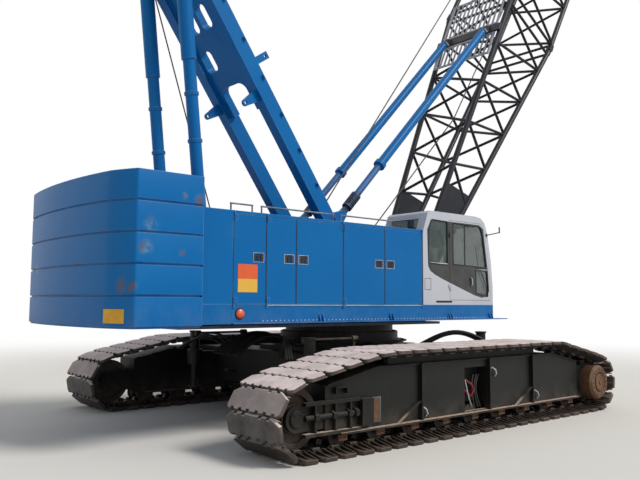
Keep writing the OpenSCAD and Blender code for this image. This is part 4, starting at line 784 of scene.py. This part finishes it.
def cab_trim():
    """Seals, the bars of the panes, the handle in its pocket, the slot, the hatch and the wipers."""
    proud, handle_x = 0.002, 1.76
    piece("door_seals", joined(rim(DOOR_PANE, CAB_Y + proud), rim(LOW_PANE, CAB_Y + proud),
                               side_plate(rect(1.588, 1.612, 2.545, 3.285), CAB_Y + 0.010, 0.008),
                               side_plate(rect(1.900, 2.245, 2.505, 2.530), CAB_Y + 0.004, 0.010)),
          black_rubber, "cab_door")
    piece("cab_seals", joined(rim(QUARTER_PANE, CAB_Y + proud), rim(LEFT_PANE, CAB_IN_Y - proud)), black_rubber,
          "upper")
    handle = [[handle_x, CAB_Y - out, z] for out, z in
              ((0.002, 2.335), (0.028, 2.315), (0.032, 2.26), (0.028, 2.205), (0.002, 2.185))]
    piece("door_bars", joined(side_plate(rect(1.905, 2.235, 2.478, 2.496), CAB_Y, 0.006), tube(handle, 0.010, 8)),
          rail_steel, "cab_door")
    piece("quarter_bar", side_plate(rect(0.612, 1.104, 2.552, 2.572), CAB_Y + 0.012, 0.012), rail_steel, "upper")
    pocket = rounded_loop(rect(handle_x - 0.035, handle_x + 0.035, 2.165, 2.355), 0.02)
    piece("door_pocket", side_plate(pocket, CAB_Y, 0.003, 0.001), black_rubber, "cab_door")
    x0, x1, z0, z1, line = 0.50, 0.66, 2.100, 2.297, 0.007
    hatch = [side_plate(rect(*r), CAB_Y, 0.002, 0.0006) for r in
             ((x0, x1, z1 - line, z1), (x0, x1, z0, z0 + line), (x0, x0 + line, z0 + line, z1 - line),
              (x1 - line, x1, z0 + line, z1 - line))]
    slot = side_plate(rounded_loop(rect(0.79, 1.22, 1.885, 1.920), 0.015), CAB_Y, 0.003, 0.001)
    piece("cab_marks", joined(slot, *hatch), black_rubber, "upper")
    wipe_y = CAB_Y - 0.006
    arm = [[2.03, wipe_y, 2.46], [2.10, CAB_Y - 0.022, 2.33], [2.20, CAB_Y - 0.020, 2.12]]
    low_blade = rod([2.10, wipe_y, 2.40], [2.235, wipe_y, 2.06], 0.005)
    piece("low_wiper", joined(tube(arm, 0.006, 6), low_blade), black_rubber, "cab_door")
    front = [[2.398, -1.13, 2.10], [2.402, -1.16, 2.20], [2.372, -1.30, 2.62]]
    blade = [[2.380, -1.30, 2.45], [2.350, -1.30, 2.70], [2.300, -1.30, 2.95]]
    piece("front_wiper", joined(tube(front, 0.008, 6), tube(blade, 0.008, 6)), black_rubber, "upper")


def cushion(size, crown, seams=3):
    """A crowned cushion: a box whose faces swell by `crown` in the middle as a product of cosines, draw in at the
    seams across it, and close in a rounded edge."""
    n, seam_depth, seam_width = 25, 0.008, 0.12
    u = np.linspace(-1, 1, n)
    a, b = np.meshgrid(u, u, indexing="ij")
    edge = (1 - np.abs(a) ** 6) * (1 - np.abs(b) ** 6)
    swell = crown * np.cos(a * np.pi / 2) ** 0.5 * np.cos(b * np.pi / 2) ** 0.5
    quilt = seam_depth * np.exp(-((np.abs(np.sin(a * np.pi * seams / 2)) / seam_width) ** 2)) * edge
    half = size[2] / 2 * np.sqrt(edge.clip(0))
    upper, lower = (np.stack([a * size[0] / 2, b * size[1] / 2, z], -1) for z in (half + swell - quilt, -half))
    return joined(sheet(upper.transpose(1, 0, 2)), sheet(lower))


def knob(place, r):
    """A ball on a lever: a half circle of heights turned about Z."""
    a = np.linspace(0, np.pi, 7)
    return at(turned(np.column_stack([-np.cos(a) * r, np.sin(a) * r]), 10), place)


def seat():
    """Driver's seat: a padded bottom, back and head rest on a suspension box, and the console beside them."""
    y, z = -1.1275, DECK_Z + 0.046
    lean = np.radians(12)
    back = np.array([[0, 1, 0], [-np.sin(lean), 0, np.cos(lean)], [np.cos(lean), 0, np.sin(lean)]])
    base = joined(box([0.90, y - 0.12, z], [1.25, y + 0.12, z + 0.26]),
                  box([0.86, y - 0.20, z + 0.26], [1.30, y + 0.20, z + 0.30]))
    console = joined(box([0.90, y + 0.26, z], [1.75, y + 0.40, z + 0.50], 0.012),
                     box([0.95, y + 0.265, z + 0.50], [1.40, y + 0.395, z + 0.56], 0.02))
    levers = [joined(rod([x, y + dy, z + 0.49], [x + 0.02, y + dy, z + 0.66], 0.007),
                     knob([x + 0.02, y + dy, z + 0.66], 0.022))
              for x in (1.50, 1.60, 1.70) for dy in (0.29, 0.37)]
    piece("seat_frame", joined(base, console, *levers), black_rubber, "upper", node=("cab_seat",))
    bottom = at(cushion((0.52, 0.48, 0.09), 0.025), [1.08, y, z + 0.36])
    rest = at(cushion((0.46, 0.62, 0.08), 0.025), [0.82, y, z + 0.74], back)
    head = at(cushion((0.28, 0.16, 0.07), 0.015, 1), [0.735, y, z + 1.13], back)
    made = piece("seat_cushions", joined(bottom, rest, head), seat_cloth, "upper", smooth=50, node=("cab_seat",))


cab_trim()
seat()


# Machine house
# Each door's latch stands 0.13 m before or behind the seam that it closes
LATCH_X = [seam + way * 0.13 for seam, way in ((-2.813, -1), (-2.279, -1), (-2.279, 1), (-0.463, -1), (-0.463, 1))]
LATCH_Z = 2.49


def frame_of(w, h, band, thick):
    """Four strips round a hole of half width w and half height h, each a band wide."""
    return joined(*[slab(side, 0, thick, 0.001) for side in
                    (rect(-w - band, w + band, h, h + band), rect(-w - band, w + band, -h - band, -h),
                     rect(-w - band, -w, -h, h), rect(w, w + band, -h, h))])


def latches():
    """Door latches: a dark plate round the pocket with a pale rim and a paddle in it, on every door of both sides."""
    w, h, pocket = 0.084, 0.059, 0.040
    plate = joined(*[slab(rect(x0, x1, -h, h), 0, 0.002, 0.0005) for x0, x1 in ((-w, -pocket), (pocket, w))])
    paddle = joined(slab(rounded_loop(rect(-0.026, 0.026, -0.042, 0.042), 0.012), -0.008, -0.001, 0.002),
                    at(bolt(0.008), [0, 0.028, -0.003]))
    parts = {"ring": (frame_of(w, h, 0.007, 0.004), rail_steel), "plate": (plate, winch_steel),
             "paddle": (paddle, black_rubber)}
    for k, x in enumerate(LATCH_X, 1):
        for name, side, axes in SIDES:
            place = [x, side * (HALF_W + PROUD), LATCH_Z]
            for kind, (part, finish) in parts.items():
                piece(f"latch_{kind}_{name}_{k}", at(part, place, axes), finish, f"door_{name}_{k}")


def side_lamps():
    """A round lamp low on each side: a dark foot ring and a domed lens, half an ellipse turned about its axis."""
    lamp_x, lamp_z, lens_r, foot_r = -3.24, 1.722, 0.066, 0.078
    t = np.linspace(0.15, np.pi / 2, 9)
    dome = np.column_stack([0.012 + 0.034 * np.sin(t), lens_r * np.cos(t)])
    lens = np.concatenate([[(0.0, lens_r)], [(0.012, lens_r + 0.0005)], dome])
    foot = [(0, foot_r), (0.006, foot_r), (0.013, foot_r - 0.004), (0.013, 0.050), (0.001, 0.050)]
    for name, side, axes in SIDES:
        place = [lamp_x, side * (HALF_W + PROUD), lamp_z]
        for kind, profile, finish, smooth in (("lens", lens, lamp_orange, 50), ("foot", foot, black_rubber, 30)):
            piece(f"lamp_{kind}_{name}", at(turned(profile, 32), place, axes), finish, "upper", smooth, ("lamps",))


def skirt_bolts():
    """A row of small domed bolts along the lower lip of each side deck."""
    lip_z, pitch = 1.6205, 0.075
    dome = turned([(0, 0.012), (0.004, 0.012), (0.009, 0.007), (0.010, 0.001)], 8)
    for name, side, axes in SIDES:
        row = [[x, side * HALF_W, lip_z] for x in np.arange(-2.86, 2.36, pitch)]
        piece("skirt_bolts_" + name, at(dome, row, axes), rail_steel, "upper")


def tail_outline():
    """Rear outline of a counterweight block from the right side to the left: the side, a small round at its corner,
    a parabola that leaves along the bevel and runs into the tail's circle, the circle, and the same mirrored."""
    corner, bevel, r = np.array(TAIL_CORNER), np.array(TAIL_BEVEL) / np.hypot(*TAIL_BEVEL), 0.022
    centre = TAIL_R - TAIL_X
    y = np.linspace(-TAIL_ROUND_Y, TAIL_ROUND_Y, 25)
    circle = np.column_stack([centre - np.sqrt(TAIL_R ** 2 - y * y), y])
    along = np.array([circle[0, 1], centre - circle[0, 0]])
    s = np.linalg.solve(np.column_stack([bevel, -along]), circle[0] - corner)[0]
    right = np.concatenate([bent(corner + [r, 0], corner, corner + bevel * r, 4),
                            bent(corner + bevel * r, corner + bevel * s, circle[0], 12)[1:-1]])
    return np.concatenate([right, circle, (right * [1, -1])[::-1]])


def weight_blocks():
    """Each counterweight block is the tail's outline stacked at heights with insets: a groove at its foot, straight
    sides, and rounded edges below and above."""
    rear = tail_outline()
    front = np.array([[WING_X, -HALF_W], [WING_X, TAIL_CORNER[1]]])
    for k in range(1, 6):
        low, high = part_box(f"weight_{k}")
        right = np.concatenate([[[high[0], -HALF_W]], front])
        outline = np.concatenate([right, rear, (right * [1, -1])[::-1]])
        z0, z1 = low[2], high[2]
        steps = [(z0, 0.024), (z0 + 0.020, 0.024), (z0 + 0.022, 0.006), (z0 + 0.029, 0), (z1 - 0.013, 0),
                 (z1 - 0.004, 0.003), (z1, 0.012)]
        piece(f"weight_block_{k}", stacked(outline, steps), blue_paint, "upper", 30, (f"weight_{k}",))


def blank_plate():
    """The yellow plate low on the tail, bent with it and left blank: a strip of the tail's outline."""
    y0, y1, z0, z1, thick, sunk = -1.615, -1.305, 1.615, 1.785, 0.004, 0.001
    line = tail_outline()
    y = np.linspace(y0, y1, 9)
    foot = np.column_stack([np.interp(y, line[:, 1], line[:, 0]), y])
    way = np.gradient(foot, axis=0)
    out = np.column_stack([-way[:, 1], way[:, 0]]) / np.linalg.norm(way, axis=1, keepdims=True)
    outline = np.concatenate([foot + out * thick, (foot - out * sunk)[::-1]])
    piece("blank_plate", slab(outline, z0, z1, 0.0008), plate_yellow, "upper")


def door_trim():
    """On each door a dark seal along its upright edges; a blank sign of two bands stands on the right side's first."""
    inset_x, wide, inset_z = 0.002, 0.007, 0.012
    for name, side, _ in SIDES:
        for k in range(1, 6):
            door = f"door_{name}_{k}"
            low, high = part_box(door)
            strips = [side_plate(rect(x, x + wide, low[2] + inset_z, high[2] - inset_z), -HALF_W, 0.0015, 0.0005)
                      for x in (low[0] + inset_x, high[0] - inset_x - wide)]
            seal = joined(*strips)
            piece(f"door_seal_{name}_{k}", seal if side < 0 else mirrored(seal), black_rubber, door)
    sign = slab(rounded_loop(rect(-0.16, 0.16, -0.19, 0.19), 0.012), 0, 0.0025, 0.0006)
    piece("door_sign", at(sign, [-3.12, -HALF_W - 0.0004, 2.20], OUT_RIGHT), sign_bands, "door_right_1")


def sill_ledges():
    """A narrow ledge runs along the top of each side deck under the doors; its paler blue is a painted highlight along
    that edge.
    """
    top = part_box("door_right_1")[0][2] - 0.004
    ledge = box([-2.805, HALF_W - 0.004, top - 0.018], [0.44, HALF_W + 0.012, top], 0.004)
    both_sides("sill_ledge", ledge, highlight_trim, "upper")


latches()
side_lamps()
skirt_bolts()
weight_blocks()
blank_plate()
door_trim()
sill_ledges()


# Undercarriage
ROLLER_X = np.linspace(IDLER_X + 0.7, SPROCKET_X - 0.7, 9)
WEB_Y = GAUGE / 2 + 0.285


def roller_brackets():
    """Under each track frame a bracket with two bolts holds each roller's axle."""
    bracket = joined(box([-0.075, 0, 0.165], [0.075, 0.030, 0.262], 0.005),
                     *[at(bolt(0.014), [x, 0.030, 0.21], OUT_LEFT) for x in (-0.045, 0.045)])
    both_sides("roller_brackets", at(bracket, [[x, WEB_Y, 0] for x in ROLLER_X]), drive_brown)


def web_covers():
    """A bolted cover on the outer web ahead of the track's tensioner, with a worn rim."""
    half_w, half_h, clear = 0.0825, 0.15, 0.0004
    place = [-1.9675, WEB_Y + PROUD, 0.495]
    cover = joined(slab(rect(-half_w, half_w, -half_h, half_h), 0, 0.012, 0.003),
                   *[at(bolt(0.010), [x, y, 0.0118]) for x in (-0.055, 0.055) for y in (-0.12, 0.12)])
    both_sides("web_covers", at(cover, place, OUT_LEFT), drive_brown)
    rim_part = frame_of(half_w + clear, half_h + clear, 0.010, 0.016)
    both_sides("web_cover_rims", at(rim_part, place, OUT_LEFT), rail_grey)


def drive_bolts():
    """Bolts round the final drive's rim, and a hub cap with its own smaller circle of bolts."""
    cap = turned([(0, 0.15), (0.028, 0.15), (0.036, 0.142), (0.036, 0.05), (0.050, 0.045), (0.050, 0.001)], 36)
    hub = joined(cap, circle_of(bolt(0.011), 10, 0.115, 0.035), circle_of(bolt(0.016), 16, 0.225, 0.025))
    both_sides("drive_bolts", at(hub, [SPROCKET_X, GAUGE / 2 + 0.465, AXLE_Z], OUT_LEFT), drive_brown)


def idler_caps():
    """Axle caps on both cheeks of the rear end wheel, with four bolts each."""
    cap = joined(turned([(0, 0.105), (0.016, 0.105), (0.024, 0.097), (0.024, 0.001)], 28),
                 circle_of(bolt(0.014), 4, 0.07, 0.023, 0.78))
    cheek = 0.262
    caps = [at(cap, [IDLER_X, GAUGE / 2 + y, AXLE_Z], axes) for y, axes in ((cheek, OUT_LEFT), (-cheek, OUT_RIGHT))]
    both_sides("idler_caps", joined(*caps), frame_paint)


def ring_bolts():
    """Circles of bolts on the slew ring and on the carbody's top flange."""
    circles = [circle_of(bolt(0.020), 60, r, z) for r, z in ((1.005, 1.3803), (1.150, 1.230))]
    piece("ring_bolts", joined(*circles), roller_steel, "undercarriage")


def arc_hose(a, b, rise, out=0.0, radius=0.018):
    """A hose from a to b that bows up by `rise` and along X by `out`, as half a sine."""
    t = np.linspace(0, 1, 17)[:, None]
    a, b = np.asarray(a, float), np.asarray(b, float)
    return tube(a + (b - a) * t + np.sin(np.pi * t) * np.array([out, 0, rise]), radius, 8)


# Bundles of hoses over the carbody: how many, the first one's ends and the step from one to the next at each end,
# then the rise, its step, the bow along X and the radius
HOSE_BUNDLES = (
    (4, (-0.62, 0.80, 1.20), (0.08, 0, 0), (-0.74, 2.33, 0.98), (0.08, 0, 0), 0.06, 0.015, 0.05, 0.018),
    (3, (-1.72, 0.50, 1.03), (-0.05, 0.10, 0), (-2.30, 1.55, 1.06), (-0.05, 0, 0), 0.30, -0.04, 0.0, 0.018),
    (4, (-1.28, 0.06, 1.20), (0, 0.09, 0), (-2.42, 0.06, 1.06), (0, 0.09, 0), 0.25, -0.015, 0.0, 0.028),
    (3, (0.90, 1.15, 1.16), (0.08, 0, 0), (2.20, 1.76, 1.10), (0, -0.08, 0), 0.245, -0.02, 0.0, 0.026),
)


def hoses():
    """Hydraulic hoses: bundles over the carbody to each track frame, short bright ones on the outer webs, and in the
    pocket of each outer web a coloured coil, three dark hoses and a bright one."""
    black = []
    for number, start, start_step, end, end_step, rise, rise_step, out, radius in HOSE_BUNDLES:
        for k in range(number):
            black.append(arc_hose(np.add(start, np.multiply(start_step, k)), np.add(end, np.multiply(end_step, k)),
                                  rise + rise_step * k, out, radius))
    for x, out in ((0.22, -0.05), (0.30, -0.07), (0.36, -0.09)):
        black.append(arc_hose([x, WEB_Y - 0.07, 0.31], [x + 0.04, WEB_Y - 0.12, 0.80], 0.04, out, 0.014))
    elbow = [(-0.04, 0.005, 0.060), (0, 0.04, 0.065), (0.05, 0.05, 0.03), (0.08, 0.045, -0.03),
             (0.085, 0.005, -0.07)]
    bright = [tube(np.array(elbow) + [x, WEB_Y, z], 0.012, 8)
              for x, z in ((-1.06, 0.38), (1.70, 0.40), (0.55, 0.83))]
    drop = [(0.04, -0.10, 0.73), (0.03, -0.06, 0.60), (0.05, -0.04, 0.47), (0.12, -0.05, 0.36),
            (0.14, -0.10, 0.31)]
    bright.append(tube(np.array(drop) + [0, WEB_Y, 0], 0.010, 8))
    coil = [(0.05, -0.12, 0.74), (0.13, -0.05, 0.66), (0.17, -0.04, 0.57), (0.10, -0.05, 0.49), (0.02, -0.06, 0.55),
            (-0.03, -0.12, 0.64)]
    both_sides("hoses", joined(*black), black_rubber)
    both_sides("bright_hoses", joined(*bright), rail_steel)
    both_sides("red_hose", tube(np.array(coil) + [0, WEB_Y, 0], 0.017, 8), red_hose)


def jack_rods():
    """A locking rod with an eye and a knob lies beside the head of each rear jack."""
    x, y, z = -2.02, 1.50, 1.33
    both_sides("jack_rods", joined(rod([x, y, z], [x + 1.0, y, z], 0.020, 12),
                                   rod([x + 0.92, y, z], [x + 1.03, y, z], 0.045, 12),
                                   rod([x + 0.97, y, z], [x + 0.97, y, 0.99], 0.020, 10),
                                   box([x - 0.05, y - 0.03, 1.28], [x + 0.05, y + 0.03, 1.37], 0.004)), roller_steel)


roller_brackets()
web_covers()
drive_bolts()
idler_caps()
ring_bolts()
hoses()
jack_rods()


# Floor, light and background
def even_sky():
    """An even sky that lights the crane and shows as white to the camera, behind glass and in reflections."""
    world = bpy.data.worlds.new("sky")
    bpy.context.scene.world = world
    world.use_nodes = True
    tree = world.node_tree
    tree.nodes.clear()
    rays = tree.nodes.new("ShaderNodeLightPath").outputs
    seen = Value(tree, rays["Is Camera Ray"])
    for kind in ("Is Transmission Ray", "Is Glossy Ray"):
        seen = seen.most(Value(tree, rays[kind]))
    sky, white = (tree.nodes.new("ShaderNodeBackground") for _ in range(2))
    sky.inputs["Color"].default_value = (0.93, 0.96, 1, 1)
    sky.inputs["Strength"].default_value = 0.45
    white.inputs["Color"].default_value = (1, 1, 1, 1)
    mixed, out = tree.nodes.new("ShaderNodeMixShader"), tree.nodes.new("ShaderNodeOutputWorld")
    tree.links.new(seen.socket, mixed.inputs[0])
    tree.links.new(sky.outputs[0], mixed.inputs[1])
    tree.links.new(white.outputs[0], mixed.inputs[2])
    tree.links.new(mixed.outputs[0], out.inputs[0])


def pale_floor():
    """A round floor whose colour turns into the white background with the distance from the crane."""
    radius, sides = 90, 64
    f = Finish("pale_floor", Base_Color=tone(0.86, 0.85, 0.83), Roughness=0.9)
    away = f.node("ShaderNodeVectorMath", {"operation": "LENGTH"}, {0: f.place}, out="Value")
    lit = f.node("ShaderNodeEmission", {}, {"Color": (1, 1, 1, 1), "Strength": 1.0})
    ray = f.node("ShaderNodeLightPath", out="Is Camera Ray")
    surface = f.node("ShaderNodeMixShader", {}, {0: away.ramp(9.0, 26.0) * ray, 2: lit}, out=None)
    f.tree.links.new(f.shader.outputs[0], surface.inputs[1])
    f.tree.links.new(surface.outputs[0], f.tree.nodes["Material Output"].inputs[0])
    data = bpy.data.meshes.new("floor")
    edge = np.column_stack([ring(radius, sides), np.zeros(sides)])
    data.from_pydata(edge.tolist(), [], [list(range(sides))])
    data.materials.append(f.material)
    floor = bpy.data.objects.new("floor", data)
    bpy.context.scene.collection.objects.link(floor)


def soft_sun():
    """One wide sun from behind the camera's right shoulder, its axes worked out from the way its light goes."""
    lamp = bpy.data.lights.new("sun", "SUN")
    lamp.energy, lamp.angle, lamp.color = 2.4, 0.35, (1, 0.97, 0.92)
    sun = bpy.data.objects.new("sun", lamp)
    ahead = np.array([-0.35, 0.72, -0.80])
    ahead /= np.linalg.norm(ahead)
    right = np.cross(ahead, [0, 0, 1])
    right /= np.linalg.norm(right)
    sun.matrix_world = Matrix(np.column_stack([right, np.cross(right, ahead), -ahead]).tolist()).to_4x4()
    bpy.context.scene.collection.objects.link(sun)


even_sky()
pale_floor()
soft_sun()
